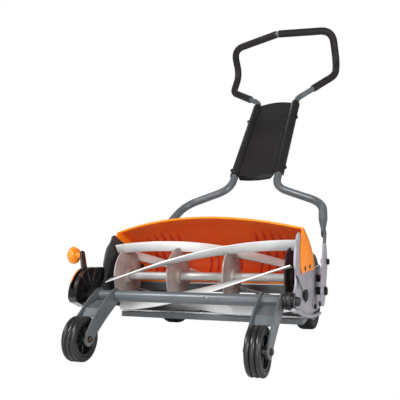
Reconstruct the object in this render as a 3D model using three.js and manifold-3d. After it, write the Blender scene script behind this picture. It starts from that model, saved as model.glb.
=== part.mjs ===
// Push reel mower: five-blade cylinder between two pressed plates, driven by two rear wheels,
// with an orange discharge chute, adjustable front wheel forks and a looped push handle.
// Millimetres. X runs left to right seen from the front, Y from front to back, Z up.
// While building, X = 0 is the middle, Y = 0 the reel's axis and Z = 0 the ground.

import * as THREE from "three";
import Module from "manifold-3d";
import { mergeVertices } from "three/addons/utils/BufferGeometryUtils.js";

const wasm = await Module();
wasm.setup();

// ---------------------------------------------------------------- driving dimensions

const GAP = 0.3;
const DEG = Math.PI / 180;

const REEL = { y: 0, z: 163, radius: 87, bladeInner: 62, halfLength: 228, shaft: 9.8 };
const BLADES = { count: 5, thickness: 3.2, twist: 101.6, lean: 4, firstAngle: -6.6 };
const DISCS = { radius: 70, thickness: 3, places: [-213, -70, 70, 213] };

const PLATE = { inner: 236, thickness: 4 };
PLATE.outer = PLATE.inner + PLATE.thickness;

const TUBE = { y: -125, z: 127, radius: 12.5 };
const FRONT_WHEEL = { x: 198, y: -236, z: 48, radius: 48, width: 32, bolt: 3.7 };
const FORK = { half: 22, thickness: 4 };

const REAR_WHEEL = { x: 198.5, y: 266, z: 104, radius: 104, width: 45, axle: 8 };
const CHAIN = { x: -250, pitch: 9.525, wheelTeeth: 22, reelTeeth: 9, width: 5, height: 4 };

const LEVER = { angle: 79, length: 108, width: 15, inner: -251, outer: -257 };
const QUADRANT = { radius: 66, wall: 3, outer: -262 };
const KNOB = { radius: 21, inner: -267, outer: -289 };

const CHUTE = { halfWidth: 243.5, thickness: 2.5, columns: 10, rows: 10 };
const STRAP = { inner: 258, thickness: 4 };
const HANDLE_PIVOT = { y: 165, z: 116 };
const STRAP_BOLT = { y: 213, z: 187 };

const HANDLE = { tube: 12.5, loop: 11, grip: 14.5, halfGauge: 75, cornerSteps: 4, facets: 10 };
const PANEL = { y: 485, z: 454, slope: 44.1, length: 438, thickness: 3, halfWeb: 62 };

// ---------------------------------------------------------------- materials

const FINISHES = {
  slatePaint: { color: 0x747a80, roughness: 0.42, metalness: 0.35 },
  silverPaint: { color: 0xa9a7b0, roughness: 0.5, metalness: 0.3 },
  darkPaint: { color: 0x3c3e41, roughness: 0.55, metalness: 0.2 },
  paleSteel: { color: 0xc4c4c2, roughness: 0.45, metalness: 0.3 },
  bareSteel: { color: 0x9a9c9e, roughness: 0.35, metalness: 0.9 },
  blackSteel: { color: 0x1d1c1c, roughness: 0.45, metalness: 0.5 },
  blackPlastic: { color: 0x1b1a1a, roughness: 0.5, metalness: 0.0 },
  orangePlastic: { color: 0xf07818, roughness: 0.42, metalness: 0.0 },
  tyreRubber: { color: 0x201f1f, roughness: 0.7, metalness: 0.0 },
  gripFoam: { color: 0x232020, roughness: 0.85, metalness: 0.0 },
};

const mower = new THREE.Group();
mower.name = "reel_mower";

function add(name, geometry, finish) {
  const mesh = new THREE.Mesh(geometry, new THREE.MeshStandardMaterial(FINISHES[finish]));
  mesh.name = name;
  mower.add(mesh);
}

// ---------------------------------------------------------------- solids

function signedVolume(geometry) {
  const flat = geometry.index ? geometry.toNonIndexed() : geometry;
  const place = flat.getAttribute("position");
  const corner = [new THREE.Vector3(), new THREE.Vector3(), new THREE.Vector3()];
  let sum = 0;
  for (let i = 0; i < place.count; i += 3) {
    corner.forEach((c, k) => c.fromBufferAttribute(place, i + k));
    sum += corner[0].dot(corner[1].clone().cross(corner[2])) / 6;
  }
  return sum;
}

function facingOut(geometry) {
  if (signedVolume(geometry) >= 0) return geometry;
  const turned = geometry.index ? geometry : mergeVertices(geometry);
  const index = turned.index.array;
  for (let i = 0; i < index.length; i += 3) {
    [index[i + 1], index[i + 2]] = [index[i + 2], index[i + 1]];
  }
  return turned;
}

function toSolid(geometry) {
  const bare = facingOut(geometry).clone();
  bare.deleteAttribute("normal");
  bare.deleteAttribute("uv");
  const merged = mergeVertices(bare, 1e-4);
  return new wasm.Manifold(
    new wasm.Mesh({
      numProp: 3,
      vertProperties: merged.getAttribute("position").array,
      triVerts: new Uint32Array(merged.index.array),
    }),
  );
}

function toGeometry(solid) {
  const mesh = solid.getMesh();
  const geometry = new THREE.BufferGeometry();
  geometry.setAttribute("position", new THREE.BufferAttribute(mesh.vertProperties, 3));
  geometry.setIndex(new THREE.BufferAttribute(mesh.triVerts, 1));
  return geometry;
}

function join(...geometries) {
  return toGeometry(geometries.map(toSolid).reduce((a, b) => a.add(b)));
}

function cut(geometry, ...tools) {
  return toGeometry(tools.map(toSolid).reduce((a, b) => a.subtract(b), toSolid(geometry)));
}

// A side-view outline, drawn in Y and Z, made solid from x0 to x1.
function plateX(shape, x0, x1, curveSegments = 8) {
  const depth = Math.abs(x1 - x0);
  const geometry = new THREE.ExtrudeGeometry(shape, { depth, bevelEnabled: false, curveSegments });
  const across = new THREE.Vector3(1, 0, 0);
  const back = new THREE.Vector3(0, 1, 0);
  const up = new THREE.Vector3(0, 0, 1);
  geometry.applyMatrix4(new THREE.Matrix4().makeBasis(back, up, across));
  return geometry.translate(Math.min(x0, x1), 0, 0);
}

function outline(points) {
  return new THREE.Shape(points.map(([y, z]) => new THREE.Vector2(y, z)));
}

function disc(y, z, radius) {
  return new THREE.Shape().absarc(y, z, radius, 0, 2 * Math.PI);
}

function rodX(radius, x0, x1, y, z, facets = 16) {
  const geometry = new THREE.CylinderGeometry(radius, radius, Math.abs(x1 - x0), facets);
  return geometry.rotateZ(-Math.PI / 2).translate((x0 + x1) / 2, y, z);
}

// A profile of [radius, x] points turned about a line along X.
function turnedX(profile, y, z, facets = 32) {
  const points = profile.map(([r, x]) => new THREE.Vector2(r, x));
  const geometry = new THREE.LatheGeometry(points, facets);
  return facingOut(geometry.rotateZ(-Math.PI / 2).translate(0, y, z));
}

function closedLoop(profile) {
  return [...profile, profile[0]];
}

// Two round ends joined by their outer tangents, as a belt lies round two pulleys.
function beltShape(a, ra, b, rb) {
  const along = Math.atan2(b.z - a.z, b.y - a.y);
  const spread = Math.acos((ra - rb) / Math.hypot(b.y - a.y, b.z - a.z));
  const shape = new THREE.Shape();
  shape.absarc(b.y, b.z, rb, along - spread, along + spread);
  shape.absarc(a.y, a.z, ra, along + spread, along - spread + 2 * Math.PI);
  return shape;
}

// A flat bar of constant width that follows a smooth line of [y, z] points.
function barShape(points, width, pieces) {
  const line = new THREE.SplineCurve(points.map(([y, z]) => new THREE.Vector2(y, z)));
  const left = [];
  const right = [];
  for (let i = 0; i <= pieces; i++) {
    const at = line.getPoint(i / pieces);
    const along = line.getTangent(i / pieces);
    left.push([at.x - (along.y * width) / 2, at.y + (along.x * width) / 2]);
    right.unshift([at.x + (along.y * width) / 2, at.y - (along.x * width) / 2]);
  }
  return outline([...left, ...right]);
}

// Stations along a bent tube: straight runs between corners that are rounded over a set length.
function bentLine(points, rounding) {
  const at = points.map((p) => new THREE.Vector3(...p));
  const stations = [at[0]];
  for (let i = 1; i < at.length - 1; i++) {
    const before = at[i - 1].clone().sub(at[i]).setLength(rounding[i - 1]).add(at[i]);
    const after = at[i + 1].clone().sub(at[i]).setLength(rounding[i - 1]).add(at[i]);
    const bend = new THREE.QuadraticBezierCurve3(before, at[i], after);
    stations.push(...bend.getPoints(HANDLE.cornerSteps));
  }
  stations.push(at[at.length - 1]);
  return stations;
}

// A round bar or sleeve carried along stations; its rings turn as little as they can.
function sweep(stations, outer, inner = 0) {
  const facets = HANDLE.facets;
  const radii = inner > 0 ? [outer, inner] : [outer];
  const position = [];
  const index = [];
  let side = new THREE.Vector3(1, 0.2, 0);
  stations.forEach((at, i) => {
    const next = stations[Math.min(i + 1, stations.length - 1)];
    const last = stations[Math.max(i - 1, 0)];
    const intoBend = at.clone().sub(last).normalize();
    const outOfBend = next.clone().sub(at).normalize();
    const along = intoBend.add(outOfBend).normalize();
    side = side.addScaledVector(along, -side.dot(along)).normalize();
    const third = along.clone().cross(side);
    radii.forEach((radius) => {
      for (let k = 0; k < facets; k++) {
        const turn = (2 * Math.PI * k) / facets;
        const out = side.clone().multiplyScalar(radius * Math.cos(turn));
        out.addScaledVector(third, radius * Math.sin(turn)).add(at);
        position.push(out.x, out.y, out.z);
      }
    });
  });
  const ring = facets * radii.length;
  const vertex = (i, layer, k) => i * ring + layer * facets + (k % facets);
  const quad = (a, b, c, d) => index.push(a, b, c, a, c, d);
  const end = stations.length - 1;
  for (let k = 0; k < facets; k++) {
    for (let i = 0; i < end; i++) {
      quad(vertex(i, 0, k), vertex(i, 0, k + 1), vertex(i + 1, 0, k + 1), vertex(i + 1, 0, k));
      if (inner > 0) {
        quad(vertex(i, 1, k + 1), vertex(i, 1, k), vertex(i + 1, 1, k), vertex(i + 1, 1, k + 1));
      }
    }
    if (inner > 0) {
      quad(vertex(0, 1, k), vertex(0, 1, k + 1), vertex(0, 0, k + 1), vertex(0, 0, k));
      quad(vertex(end, 0, k), vertex(end, 0, k + 1), vertex(end, 1, k + 1), vertex(end, 1, k));
    } else if (k > 0 && k < facets - 1) {
      index.push(vertex(0, 0, 0), vertex(0, 0, k + 1), vertex(0, 0, k));
      index.push(vertex(end, 0, 0), vertex(end, 0, k), vertex(end, 0, k + 1));
    }
  }
  const geometry = new THREE.BufferGeometry();
  geometry.setAttribute("position", new THREE.Float32BufferAttribute(position, 3));
  geometry.setIndex(index);
  return facingOut(geometry);
}

// ---------------------------------------------------------------- reel

// A point at a radius and an angle round the reel: 0 is the front, 90 the top.
function roundReel(radius, angle) {
  const turn = angle * DEG;
  return [REEL.y - radius * Math.cos(turn), REEL.z + radius * Math.sin(turn)];
}

function reelBlade(firstAngle) {
  const pieces = 26;
  const halfTurn = ((BLADES.thickness / 2) * (180 / Math.PI)) / REEL.radius;
  const innerHalfTurn = ((BLADES.thickness / 2) * (180 / Math.PI)) / REEL.bladeInner;
  const position = [];
  const index = [];
  for (let i = 0; i <= pieces; i++) {
    const share = i / pieces;
    const x = -REEL.halfLength + 2 * REEL.halfLength * share;
    const angle = firstAngle + BLADES.twist * share;
    const corners = [
      roundReel(REEL.radius, angle - halfTurn),
      roundReel(REEL.radius, angle + halfTurn),
      roundReel(REEL.bladeInner, angle + BLADES.lean + innerHalfTurn),
      roundReel(REEL.bladeInner, angle + BLADES.lean - innerHalfTurn),
    ];
    corners.forEach(([y, z]) => position.push(x, y, z));
  }
  for (let i = 0; i < pieces; i++) {
    for (let k = 0; k < 4; k++) {
      const a = 4 * i + k;
      const b = 4 * i + ((k + 1) % 4);
      index.push(a, b, b + 4, a, b + 4, a + 4);
    }
  }
  const last = 4 * pieces;
  index.push(0, 2, 1, 0, 3, 2, last, last + 1, last + 2, last, last + 2, last + 3);
  const geometry = new THREE.BufferGeometry();
  geometry.setAttribute("position", new THREE.Float32BufferAttribute(position, 3));
  geometry.setIndex(index);
  return facingOut(geometry);
}

function reelDisc(x) {
  const half = DISCS.thickness / 2;
  const share = (x + REEL.halfLength) / (2 * REEL.halfLength);
  const slotDepth = REEL.bladeInner - 1;
  const slotHalf = 3.4 / DISCS.radius / DEG;
  const notches = [];
  for (let n = 0; n < BLADES.count; n++) {
    const leanHere = BLADES.lean * ((REEL.radius - DISCS.radius) / (REEL.radius - REEL.bladeInner));
    const angle = BLADES.firstAngle + (360 / BLADES.count) * n + BLADES.twist * share;
    const outerMiddle = angle + leanHere;
    const innerMiddle = angle + BLADES.lean;
    const reach = DISCS.radius + 4;
    notches.push(
      outline([
        roundReel(reach, outerMiddle - slotHalf),
        roundReel(reach, outerMiddle + slotHalf),
        roundReel(slotDepth, innerMiddle + slotHalf * 1.1),
        roundReel(slotDepth, innerMiddle - slotHalf * 1.1),
      ]),
    );
  }
  const round = plateX(disc(REEL.y, REEL.z, DISCS.radius), x - half, x + half, 16);
  const bore = rodX(REEL.shaft + GAP, x - 9, x + 9, REEL.y, REEL.z);
  return cut(round, bore, ...notches.map((shape) => plateX(shape, x - 5, x + 5)));
}

function sprocket(teeth, y, z, bore) {
  const pitchRadius = CHAIN.pitch / (2 * Math.sin(Math.PI / teeth));
  const points = [];
  for (let n = 0; n < teeth; n++) {
    const middle = (2 * Math.PI * n) / teeth;
    const profile = [
      [-0.32, pitchRadius - 3.2],
      [-0.12, pitchRadius + 1.8],
      [0.12, pitchRadius + 1.8],
      [0.32, pitchRadius - 3.2],
    ];
    profile.forEach(([share, radius]) => {
      const turn = middle + (share * 2 * Math.PI) / teeth;
      points.push([y + radius * Math.cos(turn), z + radius * Math.sin(turn)]);
    });
  }
  const wheel = plateX(outline(points), CHAIN.x - 1.5, CHAIN.x + 1.5);
  return cut(wheel, rodX(bore + GAP, CHAIN.x - 9, CHAIN.x + 9, y, z));
}

function buildReel() {
  add("reel_shaft", rodX(REEL.shaft, -252.8, 235, REEL.y, REEL.z), "paleSteel");
  DISCS.places.forEach((x, i) => add("reel_disc_" + (i + 1), reelDisc(x), "paleSteel"));
  for (let n = 0; n < BLADES.count; n++) {
    const angle = BLADES.firstAngle + (360 / BLADES.count) * n;
    add("reel_blade_" + (n + 1), reelBlade(angle), "paleSteel");
  }
  add("reel_sprocket", sprocket(CHAIN.reelTeeth, REEL.y, REEL.z, REEL.shaft), "blackSteel");
}

// ---------------------------------------------------------------- side plates

const HORN_FRONT = [
  [-45, 249],
  [-63, 233],
  [-73, 209],
  [-77, 193],
  [-70, 180],
  [-75, 158],
  [-91, 143],
  [-112, 142],
];

function plateOutline() {
  const shape = new THREE.Shape();
  shape.moveTo(-16, 262);
  shape.quadraticCurveTo(-26, 272, -36, 263);
  shape.splineThru(HORN_FRONT.map(([y, z]) => new THREE.Vector2(y, z)));
  shape.absarc(TUBE.y, TUBE.z, 18, 50 * DEG, 285 * DEG);
  shape.splineThru([
    new THREE.Vector2(-100, 105),
    new THREE.Vector2(-40, 92),
    new THREE.Vector2(40, 75),
    new THREE.Vector2(110, 67),
    new THREE.Vector2(240, 66),
  ]);
  shape.absarc(REAR_WHEEL.y - 6, REAR_WHEEL.z, 34, -90 * DEG, 20 * DEG);
  shape.lineTo(244, 177);
  shape.lineTo(150, 176);
  shape.splineThru([
    new THREE.Vector2(112, 188),
    new THREE.Vector2(92, 204),
    new THREE.Vector2(48, 232),
    new THREE.Vector2(-16, 262),
  ]);
  return shape;
}

function slotShape(from, to, width) {
  return beltShape({ y: from[0], z: from[1] }, width / 2, { y: to[0], z: to[1] }, width / 2);
}

// The horn's front edge is folded inwards as a narrow flange.
function hornFlange(side) {
  const edge = [
    [-36, 261],
    [-47, 247],
    [-62, 231],
    [-71, 209],
    [-74, 196],
  ];
  return plateX(barShape(edge, 3, 6), side * (PLATE.inner - 1.2), side * (PLATE.inner + 1));
}

function sidePlate(side) {
  const inner = side * PLATE.inner;
  const outer = side * PLATE.outer;
  const far = side * (PLATE.outer + 20);
  const near = side * (PLATE.inner - 20);
  const slots = [
    slotShape([38, 150], [38, 163], 5),
    slotShape([180, 121], [180, 134], 7),
    slotShape([120, 97], [103, 81], 7),
  ];
  const tools = [
    rodX(TUBE.radius + GAP, near, far, TUBE.y, TUBE.z),
    rodX(REAR_WHEEL.axle + GAP, near, far, REAR_WHEEL.y, REAR_WHEEL.z),
    ...slots.map((shape) => plateX(shape, near, far, 2)),
  ];
  if (side < 0) tools.push(rodX(REEL.shaft + GAP, near, far, REEL.y, REEL.z));
  const bolts = [
    rodX(6, side * (PLATE.inner + 1), side * (PLATE.outer + 6), 203, 78, 6),
    rodX(6, side * (PLATE.inner + 1), side * (PLATE.outer + 6), 133, 80, 6),
    rodX(10, side * (PLATE.inner + 1), side * (PLATE.outer + 12), 178, 147, 8),
  ];
  const sheet = cut(plateX(plateOutline(), inner, outer, 3), ...tools);
  return join(sheet, hornFlange(side), ...(side > 0 ? bolts : []));
}

function lowerStay() {
  const line = [
    [-125, 127],
    [-93, 110],
    [-44, 89],
    [44, 69],
    [130, 58],
    [180, 56],
  ];
  const x0 = PLATE.outer + GAP;
  const bar = plateX(barShape(line, 14, 12), x0, x0 + 4);
  const eye = rodX(17, x0, x0 + 4, TUBE.y, TUBE.z, 18);
  const end = rodX(7, x0, x0 + 4, 180, 56, 16);
  return cut(join(bar, eye, end), rodX(TUBE.radius + GAP, 200, 280, TUBE.y, TUBE.z));
}

function bearing(side) {
  const outerX = side * (PLATE.inner - GAP);
  const profile = [
    [REEL.shaft + GAP, side * 229],
    [17, side * 229],
    [22, side * 231.5],
    [26, side * 233],
    [26, outerX],
    [REEL.shaft + GAP, outerX],
  ];
  return turnedX(closedLoop(profile), REEL.y, REEL.z, 18);
}

function bushing(side) {
  const profile = [
    [TUBE.radius + GAP, side * 223.5],
    [16.5, side * 223.5],
    [18, side * 225],
    [18, side * (PLATE.inner - GAP)],
    [TUBE.radius + GAP, side * (PLATE.inner - GAP)],
  ];
  return turnedX(closedLoop(profile), TUBE.y, TUBE.z, 18);
}

function starKnob() {
  const points = [];
  const lobes = 6;
  for (let n = 0; n < lobes * 2; n++) {
    const radius = n % 2 ? 9.5 : 14;
    const turn = (n * Math.PI) / lobes;
    points.push([-3 + radius * Math.cos(turn), 125 + radius * Math.sin(turn)]);
  }
  const x0 = PLATE.outer + GAP;
  return plateX(outline(points), x0, x0 + 11);
}

function buildSides() {
  add("side_plate_left", sidePlate(-1), "darkPaint");
  add("side_plate_right", sidePlate(1), "silverPaint");
  add("lower_stay", lowerStay(), "silverPaint");
  add("reel_bearing_left", bearing(-1), "blackPlastic");
  add("reel_bearing_right", bearing(1), "blackPlastic");
  add("tube_bushing_left", bushing(-1), "blackPlastic");
  add("tube_bushing_right", bushing(1), "blackPlastic");
  add("adjuster_knob", starKnob(), "blackPlastic");
}

// ---------------------------------------------------------------- cross members

function sheetBetweenPlates(points) {
  const reach = PLATE.inner - GAP;
  return plateX(outline(points), -reach, reach);
}

function buildCrossMembers() {
  const channel = [
    [90, 115],
    [93, 115],
    [93, 133],
    [118, 133],
    [118, 115],
    [121, 115],
    [121, 136],
    [90, 136],
  ];
  add("rear_cross_member", sheetBetweenPlates(channel), "slatePaint");
  const bar = [
    [3, 57],
    [44, 57],
    [80, 62],
    [98, 111],
    [95, 112],
    [77, 67],
    [44, 64.5],
    [6, 70.3],
    [3, 70.3],
  ];
  add("bed_bar", sheetBetweenPlates(bar), "slatePaint");
  const knife = [
    [6, 71],
    [44, 65.2],
    [44, 68],
    [12, 74.5],
    [6, 75.2],
  ];
  add("bedknife", sheetBetweenPlates(knife), "bareSteel");
}

// ---------------------------------------------------------------- chute

// Side-view lines of the chute, from its lower rear edge round to its top front edge.
const CHUTE_END = [
  [95, 139],
  [128.5, 175.5],
  [126, 200],
  [100, 225],
  [64, 249.5],
  [11, 273.5],
];
const CHUTE_MIDDLE = [
  [95, 139],
  [131, 176],
  [129, 206],
  [112, 240],
  [58, 288],
  [-23, 305],
];

function chuteShell() {
  const end = new THREE.SplineCurve(CHUTE_END.map(([y, z]) => new THREE.Vector2(y, z)));
  const middle = new THREE.SplineCurve(CHUTE_MIDDLE.map(([y, z]) => new THREE.Vector2(y, z)));
  const position = [];
  const index = [];
  const { columns, rows, halfWidth, thickness } = CHUTE;
  for (let layer = 0; layer < 2; layer++) {
    for (let i = 0; i <= columns; i++) {
      const share = -1 + (2 * i) / columns;
      const crown = 1 - share * share;
      for (let j = 0; j <= rows; j++) {
        const at = end.getPoint(j / rows).lerp(middle.getPoint(j / rows), crown);
        const out = at.clone().sub(new THREE.Vector2(REEL.y, REEL.z)).normalize();
        at.addScaledVector(out, layer * thickness);
        position.push(share * halfWidth, at.x, at.y);
      }
    }
  }
  const size = (columns + 1) * (rows + 1);
  const vertex = (layer, i, j) => layer * size + i * (rows + 1) + j;
  const quad = (a, b, c, d) => index.push(a, b, c, a, c, d);
  for (let i = 0; i < columns; i++) {
    for (let j = 0; j < rows; j++) {
      quad(vertex(0, i, j), vertex(0, i + 1, j), vertex(0, i + 1, j + 1), vertex(0, i, j + 1));
      quad(vertex(1, i, j), vertex(1, i, j + 1), vertex(1, i + 1, j + 1), vertex(1, i + 1, j));
    }
    quad(vertex(0, i, 0), vertex(1, i, 0), vertex(1, i + 1, 0), vertex(0, i + 1, 0));
    quad(vertex(0, i, rows), vertex(0, i + 1, rows), vertex(1, i + 1, rows), vertex(1, i, rows));
  }
  for (let j = 0; j < rows; j++) {
    quad(vertex(0, 0, j), vertex(0, 0, j + 1), vertex(1, 0, j + 1), vertex(1, 0, j));
    const i = columns;
    quad(vertex(0, i, j), vertex(1, i, j), vertex(1, i, j + 1), vertex(0, i, j + 1));
  }
  const geometry = new THREE.BufferGeometry();
  geometry.setAttribute("position", new THREE.Float32BufferAttribute(position, 3));
  geometry.setIndex(index);
  return facingOut(geometry);
}

function chuteFlap(side) {
  const flap = outline([
    [12, 276],
    [65, 251.5],
    [102, 227],
    [128, 201],
    [130.5, 178],
    [124, 172],
    [38, 175],
    [-18, 174],
    [-33, 187],
    [-25, 237],
    [-2, 276],
  ]);
  return plateX(flap, side * (PLATE.outer + GAP), side * CHUTE.halfWidth);
}

function chuteClearance(side) {
  const rim = [
    [80, 120],
    [150, 120],
    [150, 171.5],
    [80, 171.5],
  ];
  const wall = [
    [80, 165],
    [150, 165],
    [150, 207],
    [80, 207],
  ];
  const innerFace = side * (PLATE.inner - GAP);
  return [
    plateX(outline(rim), innerFace, side * 256),
    plateX(outline(wall), innerFace, side * (PLATE.outer + GAP)),
  ];
}

function buildChute() {
  const screws = [];
  for (const side of [-1, 1]) {
    for (const y of [9, 67]) {
      screws.push(rodX(5, side * (CHUTE.halfWidth - 1), side * (CHUTE.halfWidth + 2.5), y, 184, 12));
    }
  }
  const body = join(chuteShell(), chuteFlap(-1), chuteFlap(1), ...screws);
  add("chute", cut(body, ...chuteClearance(-1), ...chuteClearance(1)), "orangePlastic");
}

// ---------------------------------------------------------------- front tube, forks and wheels

const SHOULDER = [
  [-134, 143],
  [-163, 128.5],
  [-186, 114],
  [-203, 101],
  [-220, 88.5],
  [-249, 61],
];

function forkArm(x) {
  const shape = new THREE.Shape();
  shape.absarc(TUBE.y, TUBE.z, 18.5, -70 * DEG, 68 * DEG);
  SHOULDER.forEach(([y, z]) => shape.lineTo(y, z));
  shape.absarc(FRONT_WHEEL.y, FRONT_WHEEL.z, 15, 140 * DEG, 318 * DEG);
  shape.splineThru([new THREE.Vector2(-206, 56), new THREE.Vector2(-167, 82)]);
  const sheet = plateX(shape, x - FORK.thickness / 2, x + FORK.thickness / 2, 5);
  return cut(
    sheet,
    rodX(TUBE.radius + GAP, x - 9, x + 9, TUBE.y, TUBE.z),
    rodX(FRONT_WHEEL.bolt + GAP, x - 9, x + 9, FRONT_WHEEL.y, FRONT_WHEEL.z, 12),
  );
}

function fork(side) {
  const x = side * FRONT_WHEEL.x;
  const bridge = outline([
    [-146, 119],
    [-187, 106.5],
    [-203, 90],
    [-200.8, 87.8],
    [-185.5, 103.5],
    [-145, 116],
  ]);
  return join(
    forkArm(x - FORK.half),
    forkArm(x + FORK.half),
    plateX(bridge, x - FORK.half, x + FORK.half),
  );
}

function frontTyre(x) {
  const half = FRONT_WHEEL.width / 2;
  const outer = FRONT_WHEEL.radius;
  const profile = [
    [36, x - half + 1],
    [outer - 5, x - half],
    [outer - 0.6, x - half + 4],
    [outer - 3.2, x - 5.5],
    [outer, x - 3.6],
    [outer, x + 3.6],
    [outer - 3.2, x + 5.5],
    [outer - 0.6, x + half - 4],
    [outer - 5, x + half],
    [36, x + half - 1],
  ];
  return turnedX(closedLoop(profile), FRONT_WHEEL.y, FRONT_WHEEL.z, 28);
}

function frontHub(x) {
  const { y, z, bolt } = FRONT_WHEEL;
  const rim = [
    [31.5, x - 14],
    [36 - GAP, x - 14],
    [36 - GAP, x + 14],
    [31.5, x + 14],
  ];
  const boss = [
    [bolt + GAP, x - 19],
    [8, x - 19],
    [8, x + 19],
    [bolt + GAP, x + 19],
  ];
  const solids = [turnedX(closedLoop(rim), y, z, 28), turnedX(closedLoop(boss), y, z, 12)];
  for (let n = 0; n < 6; n++) {
    const spoke = new THREE.BoxGeometry(15, 27, 4);
    spoke.translate(0, 19.3, 0).rotateX((n * Math.PI) / 3 + 0.3);
    solids.push(spoke.translate(x, y, z));
  }
  return join(...solids);
}

function frontAxle(x) {
  const { y, z, bolt } = FRONT_WHEEL;
  const reach = FORK.half + FORK.thickness / 2 + GAP;
  return join(
    rodX(bolt, x - reach - 1, x + reach + 1, y, z, 12),
    rodX(6.5, x - reach - 5, x - reach, y, z, 6),
    rodX(6.5, x + reach, x + reach + 5, y, z, 6),
  );
}

function buildFront() {
  add("front_tube", rodX(TUBE.radius, LEVER.inner + GAP, 248, TUBE.y, TUBE.z, 18), "slatePaint");
  add("tube_cap_right", rodX(10, 248 + GAP, 258, TUBE.y, TUBE.z, 20), "blackPlastic");
  for (const [name, side] of [
    ["left", -1],
    ["right", 1],
  ]) {
    const x = side * FRONT_WHEEL.x;
    add("fork_" + name, fork(side), "slatePaint");
    add("front_tyre_" + name, frontTyre(x), "tyreRubber");
    add("front_hub_" + name, frontHub(x), "blackPlastic");
    add("front_axle_" + name, frontAxle(x), "blackSteel");
  }
}

// ---------------------------------------------------------------- height adjuster

// A point at a radius and an angle round the front tube: 0 is the front, 90 the top.
function roundTube(radius, angle) {
  const turn = angle * DEG;
  return [TUBE.y - radius * Math.cos(turn), TUBE.z + radius * Math.sin(turn)];
}

function arcPoints(radius, from, to, pieces) {
  const points = [];
  for (let i = 0; i <= pieces; i++) points.push(roundTube(radius, from + ((to - from) * i) / pieces));
  return points;
}

function quadrantOutline(inset) {
  return outline([
    ...arcPoints(QUADRANT.radius - inset, 0, 104, 16),
    [-64, 189 - inset],
    [-46 - inset, 181 - inset],
    [-46 - inset, 152],
    [-66 - inset, 116 + inset],
    [-104, 101 + inset],
    [-150, 102 + inset],
    [-184 + inset, 117 + inset],
  ]);
}

function quadrantHousing() {
  const inner = -(PLATE.outer + GAP);
  const wall = QUADRANT.wall;
  const web = { inner: inner - 5, outer: inner - 7.5 };
  const body = plateX(quadrantOutline(0), inner, QUADRANT.outer);
  const ribRecess = plateX(quadrantOutline(wall), inner + 5, web.inner);
  const leverPocket = plateX(quadrantOutline(wall), web.outer, QUADRANT.outer + wall);
  const leverWay = outline([...arcPoints(44, 18, 128, 10), ...arcPoints(96, 128, 18, 10)]);
  const slot = plateX(leverWay, LEVER.inner + 0.8, LEVER.outer - 0.8);
  const bore = rodX(TUBE.radius + GAP, inner + 9, QUADRANT.outer + wall, TUBE.y, TUBE.z);
  const ribs = [25, 50, 75, 100, 125, 150].map((angle) => {
    const rib = new THREE.BoxGeometry(6, 46, 2);
    rib.rotateX((180 - angle) * DEG);
    return rib.translate(inner - 3.5, ...roundTube(41, angle));
  });
  const hub = rodX(20, inner, LEVER.inner + 0.8, TUBE.y, TUBE.z, 18);
  return cut(join(cut(body, ribRecess, leverPocket, slot), hub, ...ribs), bore);
}

function heightScale() {
  const strip = outline([...arcPoints(66 + GAP, 32, 70, 8), ...arcPoints(67.8, 70, 32, 8)]);
  return plateX(strip, LEVER.outer - 1.2, QUADRANT.outer + 1);
}

function heightLever() {
  const half = LEVER.width / 2;
  const length = LEVER.length;
  const arm = beltShape({ y: 0, z: 0 }, 13, { y: 0, z: length - half }, half);
  const lever = plateX(arm, LEVER.outer, LEVER.inner, 10);
  lever.rotateX((90 - LEVER.angle) * DEG);
  return lever.translate(0, TUBE.y, TUBE.z);
}

function leverKnob() {
  const [y, z] = roundTube(LEVER.length - 11, LEVER.angle);
  const profile = [
    [0, LEVER.outer - GAP],
    [7, LEVER.outer - GAP],
    [7, KNOB.inner],
    [14, KNOB.inner - 0.5],
    [19, KNOB.inner - 4],
    [KNOB.radius, KNOB.inner - 9],
    [19.5, KNOB.inner - 15],
    [14, KNOB.inner - 20],
    [7, KNOB.outer + 0.4],
    [0, KNOB.outer],
  ];
  return turnedX(profile, y, z, 20);
}

function buildHeightAdjuster() {
  add("quadrant_housing", quadrantHousing(), "blackPlastic");
  add("height_scale", heightScale(), "orangePlastic");
  add("height_lever", heightLever(), "blackPlastic");
  add("lever_knob", leverKnob(), "orangePlastic");
}

// ---------------------------------------------------------------- rear wheels and chain drive

function rearTyre(x) {
  const half = REAR_WHEEL.width / 2;
  const outer = REAR_WHEEL.radius;
  const profile = [
    [80, x - half + 3],
    [outer - 12, x - half],
    [outer - 3, x - half + 3],
    [outer, x - half + 10],
    [outer, x + half - 10],
    [outer - 3, x + half - 3],
    [outer - 12, x + half],
    [80, x + half - 3],
  ];
  return turnedX(closedLoop(profile), REAR_WHEEL.y, REAR_WHEEL.z, 32);
}

function rearHub(side) {
  const x = side * REAR_WHEEL.x;
  const bore = REAR_WHEEL.axle + GAP;
  const rimHalf = 18;
  const profile = [
    [bore, x - 24],
    [20, x - 24],
    [22, x - 3],
    [74, x - 3],
    [74, x - rimHalf],
    [80 - GAP, x - rimHalf],
    [80 - GAP, x + rimHalf],
    [74, x + rimHalf],
    [74, x + 3],
    [22, x + 3],
    [20, x + 24],
    [bore, x + 24],
  ];
  return turnedX(closedLoop(profile), REAR_WHEEL.y, REAR_WHEEL.z, 32);
}

function chainBand() {
  const big = CHAIN.pitch / (2 * Math.sin(Math.PI / CHAIN.wheelTeeth)) + 2.4;
  const small = CHAIN.pitch / (2 * Math.sin(Math.PI / CHAIN.reelTeeth)) + 2.4;
  const half = CHAIN.width / 2;
  const outer = beltShape(REEL, small + CHAIN.height, REAR_WHEEL, big + CHAIN.height);
  const inner = beltShape(REEL, small, REAR_WHEEL, big);
  const band = plateX(outer, CHAIN.x - half, CHAIN.x + half, 8);
  return cut(band, plateX(inner, CHAIN.x - half - 2, CHAIN.x + half + 2, 8));
}

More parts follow.
